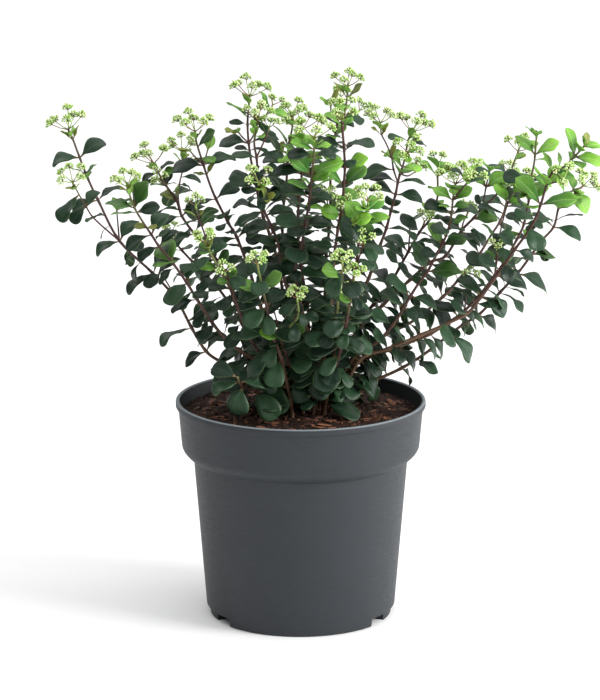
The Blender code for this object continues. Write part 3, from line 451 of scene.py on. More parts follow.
class Patchwork:
    """The points, faces and marks of a piece that is built in many patches. A mark is a number for
    each point, which the piece's material reads by its name.
    """

    def __init__(self, *marks):
        self.points = []
        self.faces = []
        self.marks = {name: [] for name in marks}

    def patch(self, points, faces, **marks):
        start = len(self.points)
        self.points.extend(points)
        self.faces.extend([tuple(start + number for number in face) for face in faces])
        for name, values in marks.items():
            self.marks[name].extend(values if isinstance(values, list) else [values] * len(points))

    def mesh(self, name):
        made = bpy.data.meshes.new(name)
        made.from_pydata(self.points, [], self.faces)
        for mark, values in self.marks.items():
            made.attributes.new(mark, "FLOAT", "POINT").data.foreach_set("value", values)
        made.shade_smooth()
        return made


def net(rows, columns, closed):
    """The faces between rows of points. Each row is closed in a ring or open."""
    faces = []
    for row in range(rows - 1):
        for column in range(columns if closed else columns - 1):
            beside = (column + 1) % columns
            lower = row * columns
            upper = lower + columns
            faces.append((lower + column, lower + beside, upper + beside, upper + column))
    return faces


soil = Patchwork()
edge = collar_radius(SOIL_HEIGHT) - WALL - GAP
rows = [(edge * (ring + FIRST_RING) / (SOIL_RINGS + FIRST_RING), None) for ring in range(SOIL_RINGS + 1)]
shoulder = rounded([(0, 0, 0), *under_shoulder(), (0, 0, 0)])[1:-1]
rows += [(radius - GAP, height) for radius, height in shoulder[::-1]]
rows += [(wall_radius(floor_top) - WALL - GAP, floor_top + GAP), (edge / 100, floor_top + GAP)]
corners = []
for radius, height in rows:
    for step in range(SOIL_STEPS):
        spot = polar(radius, math.tau * step / SOIL_STEPS)
        crumbled = noise.fractal(spot / CRUMBLE_SIZE, CRUMBLE_ROUGH, CRUMBLE_FINER, CRUMBLE_LAYERS) * CRUMBLE
        spot.z = soil_top(spot.x, spot.y) + crumbled if height is None else height
        corners.append(spot)
soil.patch(corners, [face[::-1] for face in net(len(rows), SOIL_STEPS, True)])

# Dull and almost black, with brown lumps and the paler ends of fibres
peat, tree, shader = new_material("Moist peat")
place = add(tree, "TexCoord", output="Object")
lump = add(tree, "TexNoise", Vector=place, Scale=1 / PEAT_LUMP, Detail=6, Roughness=0.7)
brown = add(tree, "MapRange", lump, 0.42, 0.66)
earth = add(tree, "MixRGB", brown, "#190f0b", "#43281b")
fibre = add(tree, "TexVoronoi", Vector=place, Scale=1 / PEAT_FIBRE)
speck = add(tree, "MapRange", fibre, 0, 0.22, 0.5, 0.0)
flecked = add(tree, "MixRGB", speck, earth, "#6e4530")
relief = add(tree, "Bump", Height=lump, Strength=0.8, Distance=1.2 * MM)
fill(tree, shader, {"Base Color": flecked, "Roughness": 0.9, "Specular IOR Level": 0.25, "Normal": relief})

soil_piece = new_piece("soil", soil.mesh("soil"), peat)
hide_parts("potting_soil")

# Crumbs and bark chips
# Loose crumbs of peat, and flat torn chips of composted pine bark, reddish brown where they are
# freshly broken, lying on the soil at all angles.
LITTER_SEED = 11
LITTER_RADIUS = 106 * MM
LITTER_SUNK = 0.25
CRUMBS = 2600
CRUMB_SIZE = (0.7 * MM, 2.2 * MM)
CRUMB_SMALLER = 2.5
CRUMB_STRETCH = ((0.8, 1.5), (0.7, 1.1), (0.5, 0.9))
CRUMB_ROUGH = (0.75, 1.15)
CRUMB_LEAN = 40
CRUMB_GRAIN = 0.962 * MM
CHIPS = 380
CHIP_LENGTH = (5 * MM, 18 * MM)
CHIP_SMALLER = 2
CHIP_WIDTH = (0.22, 0.55)
CHIP_THICKNESS = (0.5, 1.3)
CHIP_LEAN = 34
CHIP_CORNERS = 7
CHIP_UNEVEN = 0.3
CHIP_TORN = (0.75, 1.05)
CHIP_LAYERS = ((-1, 0.9), (0, 1), (1, 0.86))
CHIP_ROUGH = 0.12
CHIP_GRAIN = 2.27 * MM


def litter_spot(draw):
    """A place on the soil, as likely anywhere."""
    radius = LITTER_RADIUS * math.sqrt(draw.random())
    spot = polar(radius, draw.uniform(0, math.tau))
    return Vector((spot.x, spot.y, soil_top(spot.x, spot.y)))


def tumbled(draw, most):
    """A random turn, leaning up to most degrees from level."""
    lean = draw.uniform(-most, most)
    hinge = (draw.uniform(-1, 1), draw.uniform(-1, 1), 0.01)
    turn = Matrix.Rotation(draw.uniform(0, math.tau), 3, "Z")
    return Matrix.Rotation(math.radians(lean), 3, hinge) @ turn


draw = random.Random(LITTER_SEED)
ball = bmesh.new()
bmesh.ops.create_icosphere(ball, subdivisions=1, radius=1)
ball_points = [corner.co.copy() for corner in ball.verts]
ball_faces = [[corner.index for corner in face.verts] for face in ball.faces]
ball.free()
crumbs = Patchwork("tone")
for crumb in range(CRUMBS):
    size = CRUMB_SIZE[0] + (CRUMB_SIZE[1] - CRUMB_SIZE[0]) * draw.random() ** CRUMB_SMALLER
    stretch = Vector([draw.uniform(*span) for span in CRUMB_STRETCH]) * size
    turn = tumbled(draw, CRUMB_LEAN)
    spot = litter_spot(draw)
    points = [spot + turn @ (point * draw.uniform(*CRUMB_ROUGH) * stretch) for point in ball_points]
    crumbs.patch(points, ball_faces, tone=draw.random())

chips = Patchwork("tone")
for chip in range(CHIPS):
    length = CHIP_LENGTH[0] + (CHIP_LENGTH[1] - CHIP_LENGTH[0]) * draw.random() ** CHIP_SMALLER
    wide = length * draw.uniform(*CHIP_WIDTH)
    thick = draw.uniform(*CHIP_THICKNESS) * MM
    turn = tumbled(draw, CHIP_LEAN)
    spot = litter_spot(draw) + Vector((0, 0, thick * (1 - LITTER_SUNK)))
    spot.xy *= 1 - length / 2 / LITTER_RADIUS
    outline = []
    for corner in range(CHIP_CORNERS):
        angle = math.tau * (corner + draw.uniform(-CHIP_UNEVEN, CHIP_UNEVEN)) / CHIP_CORNERS
        torn = draw.uniform(*CHIP_TORN)
        outline.append(Vector((length / 2 * math.cos(angle), wide / 2 * math.sin(angle), 0)) * torn)
    points = []
    for level, share in CHIP_LAYERS:
        for corner in outline:
            lift = thick * (level / 2 + draw.uniform(-CHIP_ROUGH, CHIP_ROUGH))
            points.append(spot + turn @ (corner * share + Vector((0, 0, lift))))
    lids = [tuple(range(CHIP_CORNERS))[::-1], tuple(range(2 * CHIP_CORNERS, 3 * CHIP_CORNERS))]
    chips.patch(points, net(3, CHIP_CORNERS, True) + lids, tone=draw.random())

# Crumbs and chips are dull and rough, each from dark to brown or reddish, with darker torn grain
for name, patchwork, dark, light, grain in (
    ("peat_crumbs", crumbs, "#1a110d", "#4a2d1d", CRUMB_GRAIN),
    ("bark_chips", chips, "#2c1710", "#a0684a", CHIP_GRAIN),
):
    litter, tree, shader = new_material(name.replace("_", " ").capitalize())
    tone = add(tree, "Attribute", output="Fac", attribute_name="tone")
    base = add(tree, "MixRGB", tone, dark, light)
    place = add(tree, "TexCoord", output="Object")
    torn = add(tree, "TexNoise", Vector=place, Scale=1 / grain, Detail=5, Distortion=1.5)
    shade = add(tree, "MapRange", torn, 0.35, 0.65, 0.45, 0.0)
    mottled = add(tree, "MixRGB", shade, base, "#160c08")
    relief = add(tree, "Bump", Height=torn, Strength=0.7, Distance=0.4 * MM)
    fill(tree, shader, {"Base Color": mottled, "Roughness": 0.82, "Normal": relief})
    piece = new_piece(name, patchwork.mesh(name), litter)
    smooth(piece)
    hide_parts("potting_soil")

# Stems
# Slender woody stems from the middle of the soil, some of them forked: tan-brown at the foot, dark
# purple-brown above and green at the tips, a little thicker where each pair of leaves stands.
UP = Vector((0, 0, 1))
VIEW = Vector((0, 0.972, -0.234))
STEM_SUNK = 12 * MM
STEM_COLLAR = 7 * MM
MAIN_RADII = (2.3 * MM, 1.15 * MM)
SIDE_RADII = (1.15 * MM, 0.85 * MM)
STEM_SIDES = 9
SLIM = 0.74
CURVE_STEPS = 5
NODE_SWELL = 0.32
NODE_LENGTH = 2.2 * MM
TIP_LENGTH = 2
TIP_WIDTH = 0.3
SIDE_YOUTH = 0.45
GREENER = 1.35
BARK_CLOUD = 16.7 * MM
FISSURE = 0.667 * MM
FISSURE_STRETCH = 0.25

# Each kind of leaf. From the source: width over length, angle to its stem and bend along it. Then
# how much fuller its blade is than the source's, how late it widens, how much it tapers to its tip,
# how deep it is folded, and its age mark: 0 is old and dark, and 1 is in bud and bronze
OLD = dict(width=0.60, open=62, bend=58, full=1.06, late=0.68, taper=0.44, fold=0.32, age=0.0)
NEW = dict(width=0.60, open=46, bend=30, full=1.28, late=0.55, taper=0.78, fold=0.50, age=0.38)
BUD = dict(width=0.50, open=30, bend=16, full=1.20, late=0.55, taper=0.85, fold=0.60, age=1.0)
LOW = dict(width=0.64, open=94, bend=46, full=1.08, late=0.74, taper=0.42, fold=0.30, age=0.0)

# Each size of flower head: rays, how many of them stand upright, their length, the width of a
# cluster of buds, the angle of a ray to the head's axis, and the buds in a cluster
BIG = dict(rays=6, upright=1, length=17 * MM, cluster=9 * MM, spread=60, buds=24)
MID = dict(rays=5, upright=1, length=13 * MM, cluster=8 * MM, spread=58, buds=21)
SMALL = dict(rays=3, upright=0, length=7.5 * MM, cluster=7 * MM, spread=46, buds=14)
YOUNG = dict(rays=4, upright=0, length=8 * MM, cluster=7.5 * MM, spread=52, buds=22)

# The stems, traced from the front. Each has the place of its foot in the soil (across, depth) and
# its shoots. A shoot has the shoot and point it grows from, how far behind the pot's middle its tip
# is, its flower head, and its points as (across, height), or (across, height, leaf, length, turn)
# where a pair of leaves stands. All are millimetres on the plane of the pot's axis, seen from EYE.
STEMS = (
    ((-22, 4), (
        (None, 15, BIG, ((-45, 222), (-72, 236, LOW, 22, 20), (-87, 247, OLD, 24, 0),
            (-100, 269, OLD, 33, 5), (-114, 296, OLD, 20, 80), (-135, 320, OLD, 30, 0),
            (-165, 350, OLD, 26, 0), (-184, 388, OLD, 26, 10), (-193, 408, NEW, 13, 80),
            (-200, 427, OLD, 28, 0), (-206, 444, BUD, 13, 10), (-209, 450))),
        ((0, 6), -38, MID, ((-187, 370), (-195, 382, OLD, 20, 30), (-206, 402, BUD, 12, 0))),
        ((0, 6), 40, None, ((-167, 378, NEW, 22, 0),)),
        ((0, 4), 5, None, ((-118, 304), (-127, 320, OLD, 22, 40))))),
    ((-16, -8), (
        (None, -50, MID, ((-35, 232), (-48, 242, OLD, 28, 30), (-62, 252), (-80, 272, OLD, 28, 70),
            (-95, 296, OLD, 26, 20), (-104, 311, OLD, 34, 60), (-117, 330, NEW, 30, 80),
            (-129, 345, OLD, 22, 0), (-136, 356, OLD, 26, 20), (-145, 370), (-151, 381, NEW, 26, 0),
            (-157, 398))),
        ((0, 10), -35, None, ((-152, 395, BUD, 15, 20),)))),
    ((-20, 16), (
        (None, 90, SMALL, ((-42, 250), (-62, 286), (-77, 308, OLD, 26, 50), (-98, 330, OLD, 26, 0),
            (-108, 341, OLD, 20, 60), (-116, 351, BUD, 10, 0), (-118, 355))),)),
    ((-12, 14), (
        (None, 60, BIG, ((-43, 257), (-52, 278, OLD, 24, 60), (-62, 300), (-70, 322, OLD, 24, 0),
            (-82, 340, OLD, 22, 50), (-97, 357, OLD, 26, 0), (-108, 373, OLD, 26, 20),
            (-113, 388, BUD, 15, 0), (-122, 401, NEW, 18, 60), (-129, 413, OLD, 18, 0), (-132, 419))),
        ((0, 6), 100, MID, ((-111, 388), (-110, 402, OLD, 12, 0), (-106, 420, BUD, 15, 20), (-107, 430))),
        ((0, 8), 24, SMALL, ((-128, 405),)))),
    ((-8, 6), (
        (None, -10, BIG, ((-26, 255, OLD, 28, 20), (-37, 290, OLD, 26, 0), (-46, 320, OLD, 30, 60),
            (-58, 353, OLD, 30, 0), (-66, 367, OLD, 16, 60), (-77, 389, OLD, 24, 0), (-83, 404),
            (-88, 420, OLD, 30, 0), (-94, 440), (-95, 448))),
        ((0, 7), -20, None, ((-96, 428), (-100, 433, BUD, 15, 20))),
        ((0, 7), 10, None, ((-84, 434, BUD, 15, 60),)))),
    ((-14, -18), (
        (None, -95, YOUNG, ((-34, 238, LOW, 28, 40), (-48, 262, OLD, 24, 20), (-62, 300, OLD, 24, 60),
            (-75, 325, NEW, 18, 0), (-83, 340, NEW, 18, 70), (-86, 347))),
        ((0, 2), -100, SMALL, ((-66, 314, NEW, 12, 20), (-69, 319))),
        ((0, 4), -60, SMALL, ((-88, 358), (-93, 372, BUD, 16, 10), (-95, 380))))),
    ((-4, 18), (
        (None, 45, BIG, ((-10, 260), (-16, 300, OLD, 26, 60), (-22, 335, OLD, 28, 0),
            (-28, 355, OLD, 26, 50), (-34, 372, OLD, 28, 0), (-38, 389, OLD, 16, 60),
            (-42, 408, OLD, 24, 0), (-45, 425), (-47, 440, OLD, 28, 0), (-48, 457, OLD, 18, 30), (-47, 472),
            (-46, 480))),
        ((0, 8), 30, None, ((-53, 446), (-56, 450, BUD, 16, 20))),
        ((0, 8), 60, SMALL, ((-39, 453), (-33, 463), (-29, 469, NEW, 22, 0), (-26, 473))))),
    ((2, -2), (
        (None, -25, MID, ((-2, 255, OLD, 28, 50), (-8, 290, OLD, 28, -20), (-16, 318, OLD, 26, 30),
            (-20, 345), (-26, 362, OLD, 24, 0), (-34, 380), (-38, 398, OLD, 20, 60), (-39, 414),
            (-40, 427, OLD, 24, 0), (-42, 440), (-40, 453), (-39, 459))),
        ((0, 8), -15, SMALL, ((-33, 442), (-29, 452))),
        ((0, 5), -50, MID, ((-37, 392), (-38, 402))),
        ((0, 5), -40, None, ((-31, 390, BUD, 17, 0),)))),
    ((6, 14), (
        (None, 90, MID, ((4, 262, OLD, 26, 30), (-4, 300, OLD, 26, 20), (-12, 335, OLD, 30, 60),
            (-17, 362, OLD, 28, 0), (-15, 388, OLD, 26, 50), (-13, 404, OLD, 20, 10),
            (-12, 421, OLD, 24, 0), (-11, 438, NEW, 26, 40), (-8, 452), (-7, 462))),
        ((0, 6), 80, None, ((-17, 431, BUD, 15, 20),)),
        ((0, 6), 100, None, ((-5, 432, NEW, 16, 0),)))),
    ((8, -12), (
        (None, -5, BIG, ((8, 250, OLD, 28, 20), (7, 270, OLD, 26, -50), (6, 290, OLD, 28, 60),
            (0, 330, OLD, 30, 20), (-3, 365, OLD, 30, 70), (-1, 392, OLD, 30, 30), (1, 412, OLD, 24, 0),
            (2, 436, NEW, 20, 60), (1, 450))),)),
    ((14, -10), (
        (None, -55, BIG, ((12, 240, LOW, 28, 80), (8, 258, OLD, 28, 0), (4, 275, OLD, 28, 60),
            (-5, 318, OLD, 30, 0), (0, 342, OLD, 34, 80), (4, 364, OLD, 28, 30), (8, 390, OLD, 28, 0),
            (10, 411, NEW, 30, 0), (12, 428, OLD, 24, 20), (12, 442))),)),
    ((16, 14), (
        (None, 70, SMALL, ((19, 250), (22, 295, OLD, 26, 0), (23, 335, OLD, 28, 50), (26, 362, OLD, 28, 0),
            (27, 390, OLD, 26, 60), (27, 418, OLD, 22, 0), (30, 440, OLD, 16, 30), (33, 458, OLD, 16, 0),
            (35, 471), (36, 480))),
        ((0, 3), 40, SMALL, ((25, 378, NEW, 22, 10), (24, 388))),
        ((0, 7), 60, None, ((28, 466), (27, 474, BUD, 17, 10))),
        ((0, 7), 80, SMALL, ((42, 462), (52, 468))))),
    ((18, -6), (
        (None, -15, MID, ((24, 250, OLD, 28, -30), (26, 272, OLD, 26, 40), (28, 295, OLD, 28, 20),
            (30, 330, OLD, 26, 70), (34, 362, OLD, 24, 10), (38, 385, NEW, 22, 60), (39, 402, NEW, 26, 20),
            (40, 418, NEW, 22, 0), (39, 437, OLD, 28, 0), (38, 455, NEW, 14, 50), (40, 470),
            (42, 482, BUD, 18, 0), (42, 489))),
        ((0, 8), -35, MID, ((37, 455), (38, 464))),
        ((0, 4), -45, SMALL, ((37, 374, NEW, 22, 20), (37, 381))))),
    ((26, 6), (
        (None, 35, BIG, ((34, 250), (41, 267, OLD, 28, 60), (48, 285, OLD, 26, 20), (62, 315, OLD, 26, 0),
            (72, 345, OLD, 24, 30), (78, 362, OLD, 30, 0), (82, 378, OLD, 18, 70), (86, 393, OLD, 26, 0),
            (88, 404, OLD, 26, 10), (90, 412, NEW, 18, 60), (94, 425), (97, 442, OLD, 20, 30), (100, 448))),
        ((0, 8), 20, MID, ((84, 416, OLD, 30, 0), (82, 428, BUD, 12, 30), (77, 440), (73, 448, BUD, 12, 0),
            (72, 456))),
        ((0, 10), 10, MID, ((97, 430),)),
        ((0, 9), 60, SMALL, ((97, 410), (104, 414))))),
    ((22, -16), (
        (None, -75, MID, ((32, 248, OLD, 28, 60), (42, 285, OLD, 24, 30), (50, 325, OLD, 20, 0),
            (53, 351, NEW, 18, 50), (56, 366, NEW, 24, 0), (60, 378, NEW, 20, 60), (61, 384))),
        ((0, 3), -84, None, ((48, 366, NEW, 22, 10),)),
        ((0, 2), -90, SMALL, ((56, 343), (58, 348))))),
    ((24, 22), (
        (None, 80, SMALL, ((40, 258), (52, 275, OLD, 26, 0), (66, 290, OLD, 28, 60), (80, 307, OLD, 28, 10),
            (90, 325, OLD, 24, 60), (98, 340, OLD, 26, 0), (108, 358, OLD, 28, 40), (118, 371, NEW, 16, 0),
            (124, 390), (124, 410, NEW, 24, 30), (125, 420))),
        ((0, 6), 60, SMALL, ((112, 366),)),
        ((0, 5), 60, None, ((99, 355), (99, 368, NEW, 24, 20))))),
    ((26, -7), (
        (None, -30, BIG, ((46, 236, LOW, 28, 70), (60, 248, OLD, 26, 0), (72, 257), (84, 271, OLD, 26, 40),
            (94, 287, OLD, 26, 0), (100, 298, OLD, 28, 20), (108, 311), (116, 322, NEW, 30, 10),
            (124, 338, OLD, 24, 60), (129, 347, NEW, 22, 0), (134, 360, OLD, 28, 70),
            (137, 375, OLD, 26, 20), (138, 388, NEW, 20, 0), (140, 400))),
        ((0, 12), -55, MID, ((146, 398), (153, 407))))),
    ((32, 20), (
        (None, 115, SMALL, ((50, 245), (80, 263), (104, 276), (130, 298, OLD, 28, 0),
            (144, 314, OLD, 26, 10), (154, 327), (163, 338, OLD, 30, 0), (173, 355),
            (181, 368, OLD, 22, 60), (186, 382, OLD, 28, 0), (188, 400, NEW, 18, 0), (188, 413))),)),
    ((30, 12), (
        (None, 65, MID, ((50, 262, OLD, 26, -30), (75, 290, OLD, 26, 20), (100, 314, OLD, 28, 60),
            (118, 330, OLD, 24, 0), (132, 336, OLD, 22, 50), (146, 359, OLD, 24, 0),
            (157, 371, NEW, 24, 20), (165, 381, OLD, 16, 60), (176, 391), (188, 409, OLD, 22, 0),
            (194, 425), (196, 430))),
        ((0, 7), 50, None, ((168, 400, NEW, 24, 0), (171, 414, NEW, 18, 60))),
        ((0, 5), 50, SMALL, ((148, 368), (151, 374))))),
    ((33, -1), (
        (None, 5, None, ((48, 234), (66, 242, OLD, 20, 60), (90, 251, OLD, 30, 30), (105, 257),
            (119, 263, OLD, 26, 0), (137, 275), (150, 285, OLD, 26, 50), (163, 299, OLD, 22, 0),
            (177, 318, OLD, 34, 30), (187, 333), (197, 352, OLD, 20, 60), (203, 366, OLD, 18, 0),
            (207, 388, NEW, 26, 60), (208, 404, OLD, 26, 30), (211, 420), (212, 430, NEW, 24, 0),
            (213, 446, NEW, 18, 60))),
        ((0, 8), -15, SMALL, ((179, 333, NEW, 14, 0), (179, 340))),
        ((0, 8), 44, MID, ((180, 350, NEW, 22, 0), (188, 385, NEW, 22, 30), (197, 400))),
        ((0, 6), -10, SMALL, ((151, 298), (154, 312))))),
    ((36, -12), (
        (None, -55, None, ((54, 238, LOW, 30, 30), (80, 249, OLD, 28, 60), (110, 262, OLD, 26, 20),
            (150, 281, OLD, 26, 60), (165, 298, OLD, 28, 0), (182, 322, OLD, 26, 40),
            (195, 342, OLD, 20, 0), (205, 356), (213, 370, OLD, 26, 60), (218, 384, NEW, 32, 0),
            (223, 402, NEW, 28, 50), (228, 413, NEW, 20, 0), (238, 418), (248, 428, NEW, 26, 0),
            (256, 437, NEW, 18, 60))),
        ((0, 10), -76, MID, ((230, 404), (237, 405))))),
    ((39, 8), (
        (None, 30, MID, ((52, 214), (74, 222), (93, 231, OLD, 24, 40), (112, 243), (136, 262, OLD, 34, 10),
            (150, 273), (163, 281, OLD, 26, 30), (182, 302, OLD, 28, 0), (198, 320, OLD, 36, 20),
            (211, 338, NEW, 24, 30), (219, 350), (230, 363, OLD, 28, 0), (234, 380, NEW, 18, 60),
            (240, 392, NEW, 18, 0), (248, 397), (254, 399))),)),
    ((2, -22), (
        (None, -90, YOUNG, ((-4, 214), (-6, 221, LOW, 24, 80), (-9, 230, LOW, 32, 0),
            (-12, 239, OLD, 28, -60), (-18, 261, NEW, 22, 20), (-9, 271), (-2, 280, OLD, 18, 0),
            (-3, 294))),
        ((0, 4), -62, None, ((-24, 283, OLD, 24, 40),)),
        ((0, 4), -70, None, ((-34, 280, OLD, 26, 10),)))),
    ((-26, -16), (
        (None, -80, None, ((-40, 208), (-54, 214, LOW, 26, 40), (-58, 222, OLD, 26, -50))),)),
    ((12, -26), (
        (None, -85, YOUNG, ((20, 235, LOW, 30, 10), (27, 260, OLD, 28, 60), (33, 280, OLD, 26, 0),
            (34, 292), (34, 299))),)),
    ((22, -28), (
        (None, -110, YOUNG, ((30, 224, LOW, 28, 60), (37, 250, OLD, 28, 0), (42, 275, OLD, 26, 50),
            (46, 296, NEW, 16, 60), (48, 308), (49, 315))),
        ((0, 3), -122, YOUNG, ((40, 305), (38, 318, NEW, 22, 20), (38, 328))))),
    ((-8, -34), (
        (None, -105, YOUNG, ((-18, 240, LOW, 28, 60), (-27, 264, OLD, 28, 0), (-31, 288, OLD, 28, 50),
            (-35, 306, NEW, 22, 0), (-38, 320), (-39, 326))),)),
)


def on_sight_line(across, height, depth):
    """The point at this depth that the eye sees at (across, height) on the axis plane."""
    flat = Vector((across, 0, height)) * MM
    return flat + (flat - EYE) * (depth / -EYE.y)


def grow_points(start, tip_depth, traced):
    """Points of a shoot in space from its start, its depth growing evenly with its length."""
    lengths = []
    length = 0
    before = start
    for spot in traced:
        flat = Vector((spot[0], 0, spot[1])) * MM
        length += math.hypot(flat.x - before.x, flat.z - before.z)
        lengths.append(length)
        before = flat
    return [
        on_sight_line(spot[0], spot[1], start.y + (tip_depth - start.y) * so_far / length)
        for spot, so_far in zip(traced, lengths)
    ]


def grow_stem(stem):
    """The stem's shoots: points and radii of each, the number of its first traced point, its data."""
    foot, shoots = stem
    grown = []
    for origin, tip_depth, head, traced in shoots:
        if origin is None:
            bottom = Vector((foot[0] * MM, foot[1] * MM, SOIL_HEIGHT + SOIL_DOME - STEM_SUNK))
            begun = [bottom, bottom + UP * (STEM_SUNK + STEM_COLLAR)]
            radii = MAIN_RADII
        else:
            parent, number = origin
            begun = [grown[parent]["points"][grown[parent]["first"] + number]]
            radii = SIDE_RADII
        grown.append({
            "points": begun + grow_points(begun[-1], tip_depth * MM, traced), "radii": radii,
            "first": len(begun), "head": head, "traced": traced, "side": origin is not None,
        })
    return grown


def radius_at(shoot, number):
    """The stem's radius in the source at this point of a shoot."""
    first, last = shoot["radii"]
    return first + (last - first) * number / (len(shoot["points"]) - 1)


def curve_through(points):
    """Points of a smooth curve through the points, each with its share of the way past the last one."""
    curve = []
    last = len(points) - 1
    for number in range(last):
        before = points[max(number - 1, 0)]
        start, end = points[number], points[number + 1]
        after = points[min(number + 2, last)]
        for step in range(CURVE_STEPS):
            share = step / CURVE_STEPS
            leave = (end - before) / 2 * share * (1 - share) ** 2
            arrive = (after - start) / 2 * share ** 2 * (1 - share)
            ease = share * share * (3 - 2 * share)
            curve.append((start.lerp(end, ease) + leave - arrive, number + share))
    curve.append((points[-1], last))
    return curve


def tube(path, radii, sides):
    """The points and faces of a round rod along a path, with a lid at each end."""
    points = []
    across = None
    for number, middle in enumerate(path):
        way = (path[min(number + 1, len(path) - 1)] - path[max(number - 1, 0)]).normalized()
        across = way.orthogonal() if across is None else across - way * across.dot(way)
        across.normalize()
        aside = way.cross(across)
        for side in range(sides):
            angle = math.tau * side / sides
            points.append(middle + (across * math.cos(angle) + aside * math.sin(angle)) * radii[number])
    last = (len(path) - 1) * sides
    lids = [tuple(range(sides))[::-1], tuple(range(last, last + sides))]
    return points, net(len(path), sides, True) + lids


def swelling(shoot, place):
    """How much thicker the stem is here, from the nearest pair of leaves."""
    points = shoot["points"]
    number = round(place)
    traced = shoot["traced"][number - shoot["first"]] if number >= shoot["first"] else ()
    if len(traced) < 3:
        return 1
    beside = min(max(number + (1 if place > number else -1), 0), len(points) - 1)
    off = abs(place - number) * (points[number] - points[beside]).length
    return 1 + NODE_SWELL * math.exp(-(off / NODE_LENGTH) ** 2)


# Tan bark on old wood, then purple-brown, then green skin, each passing unevenly into the next.
# The bark's hair cracks are drawn two thirds of a millimetre wide, so that they show
bark, tree, shader = new_material("Young bark and green shoots")
youth = add(tree, "Attribute", output="Fac", attribute_name="youth")
place = add(tree, "TexCoord", output="Object")
cloud = add(tree, "TexNoise", Vector=place, Scale=1 / BARK_CLOUD, Detail=3)
stage = add(tree, "Math", cloud, 0.3, youth, operation="MULTIPLY_ADD")
woody = add(tree, "MapRange", stage, 0.22, 0.62)
brown = add(tree, "MixRGB", woody, "#8a6c52", "#4c2d28")
green = add(tree, "MapRange", stage, 0.95, 1.3)
skin = add(tree, "MixRGB", green, brown, "#7d8d4c")
stretched = add(tree, "Mapping", Vector=place, Scale=(1, 1, FISSURE_STRETCH))
fissure = add(tree, "TexNoise", Vector=stretched, Scale=1 / FISSURE, Detail=4)
darker = add(tree, "MapRange", fissure, 0.3, 0.5, 0.35, 0.0)
lined = add(tree, "MixRGB", darker, skin, "#2b1f1b")
relief = add(tree, "Bump", Height=fissure, Strength=0.5, Distance=0.2 * MM)
fill(tree, shader, {"Base Color": lined, "Roughness": 0.6, "Normal": relief})

plants = [grow_stem(stem) for stem in STEMS]
for number, shoots in enumerate(plants):
    wood = Patchwork("youth")
    for shoot in shoots:
        curve = curve_through(shoot["points"])
        last = len(shoot["points"]) - 1
        radii = [radius_at(shoot, spot) * SLIM * swelling(shoot, spot) for middle, spot in curve]
        if shoot["head"] is None:
            way = (curve[-1][0] - curve[-2][0]).normalized()
            curve.append((curve[-1][0] + way * radii[-1] * TIP_LENGTH, last))
            radii.append(radii[-1] * TIP_WIDTH)
        points, faces = tube([middle for middle, spot in curve], radii, STEM_SIDES)
        older = SIDE_YOUTH if shoot["side"] else 0
        greener = GREENER if shoot["head"] is YOUNG else 1
        youth = [older + (greener - older) * spot / last for middle, spot in curve]
        wood.patch(points, faces, youth=[mark for mark in youth for side in range(STEM_SIDES)])
    name = f"stem_{number + 1:02d}"
    piece = new_piece(name, wood.mesh(name), bark)
    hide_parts(f"leafy_stem_{number + 1:02d}")

# Leaves
# Evergreen leaves in opposite pairs on short stalks: obovate, folded along the midrib, arched back,
# thick and satin. The pairs that the photo shows are traced. Small ones fill the shoots between
# them, and two pairs of very young ones close most of the high shoots.
LEAF_SEED = 100
MORE_SEED = 500
LEAST_LEAF = 23
LONG_LEAF = 31 * MM
LEAF_THICKNESS = 0.7 * MM
LEAF_SPREAD = 9
LEAF_TO_LIGHT = 0.4
LEAF_TO_FRONT = (0.3, 1.5)
STEM_SQUARE = 0.85
TIP_WIDTHS = (0.45, 0.5)
MATCH = 0.03 * MM
BLADE_THICKNESS = 0.32 * MM
BLADE_ROWS = 12
BLADE_TO_TIP = 1.8
BLADE_COLUMNS = (-1, -0.7, -0.35, 0, 0.35, 0.7, 1)
BLADE_WAVE = (0.03, 0.10)
BLADE_WAVE_TURN = 7
BLADE_LEAN = 0.12
BLADE_FOLD = (0.6, 1.3)
FOLD_ROUND = 0.75
TIP_FALL = 2.3
STALK_SHARE = 0.12
STALK_WIDTH = 0.55 * MM
STALK_THINNER = 0.6
LEAF_MOTTLE = 4.17 * MM
LEAF_GRAIN = 1.54 * MM
LEAF_FELT = 1.11 * MM

FILL_STEP = 9 * MM
FILL_CLEAR = 5 * MM
FILL_ABOVE = 2 * MM
FILL_REACH = 170 * MM
FILL_MIDDLE = 0.95
FILL_FLANK = 0.2
FILL_TIPS = 0.8
FILL_LENGTHS = (13, 27)
FILL_OPEN = (40, 95)
FILL_TO_FRONT = (-0.6, 1.3)
FILL_BEND = (0.4, 1.5)
FILL_FULL = (0.75, 1.1)
LARGE_BELOW = 255 * MM
LARGER = 1.3
FLANK_LARGER = 0.25
YOUNG_SHARE = 0.72
YOUNG_HEIGHT = 365 * MM
YOUNG_SHORTER = 0.9
BRONZE_EDGE = -60 * MM
BRONZE_SHARE = 0.5
BRONZE_SHORTER = 0.6
AGE_SPREAD = 0.16
TIP_AGE = 0.1
DARKENED = 0.16
TERMINAL = dict(BUD, age=0.62)
TERMINAL_LEAVES = ((34, 13 * MM), (17, 6.5 * MM))
TERMINAL_LENGTHS = (0.8, 1.1)
TERMINAL_SPREAD = 8
TERMINAL_TO_FRONT = (0, 0.8)
TERMINAL_BELOW = (3 * MM, 9 * MM)
TERMINAL_BRONZE = 0.3

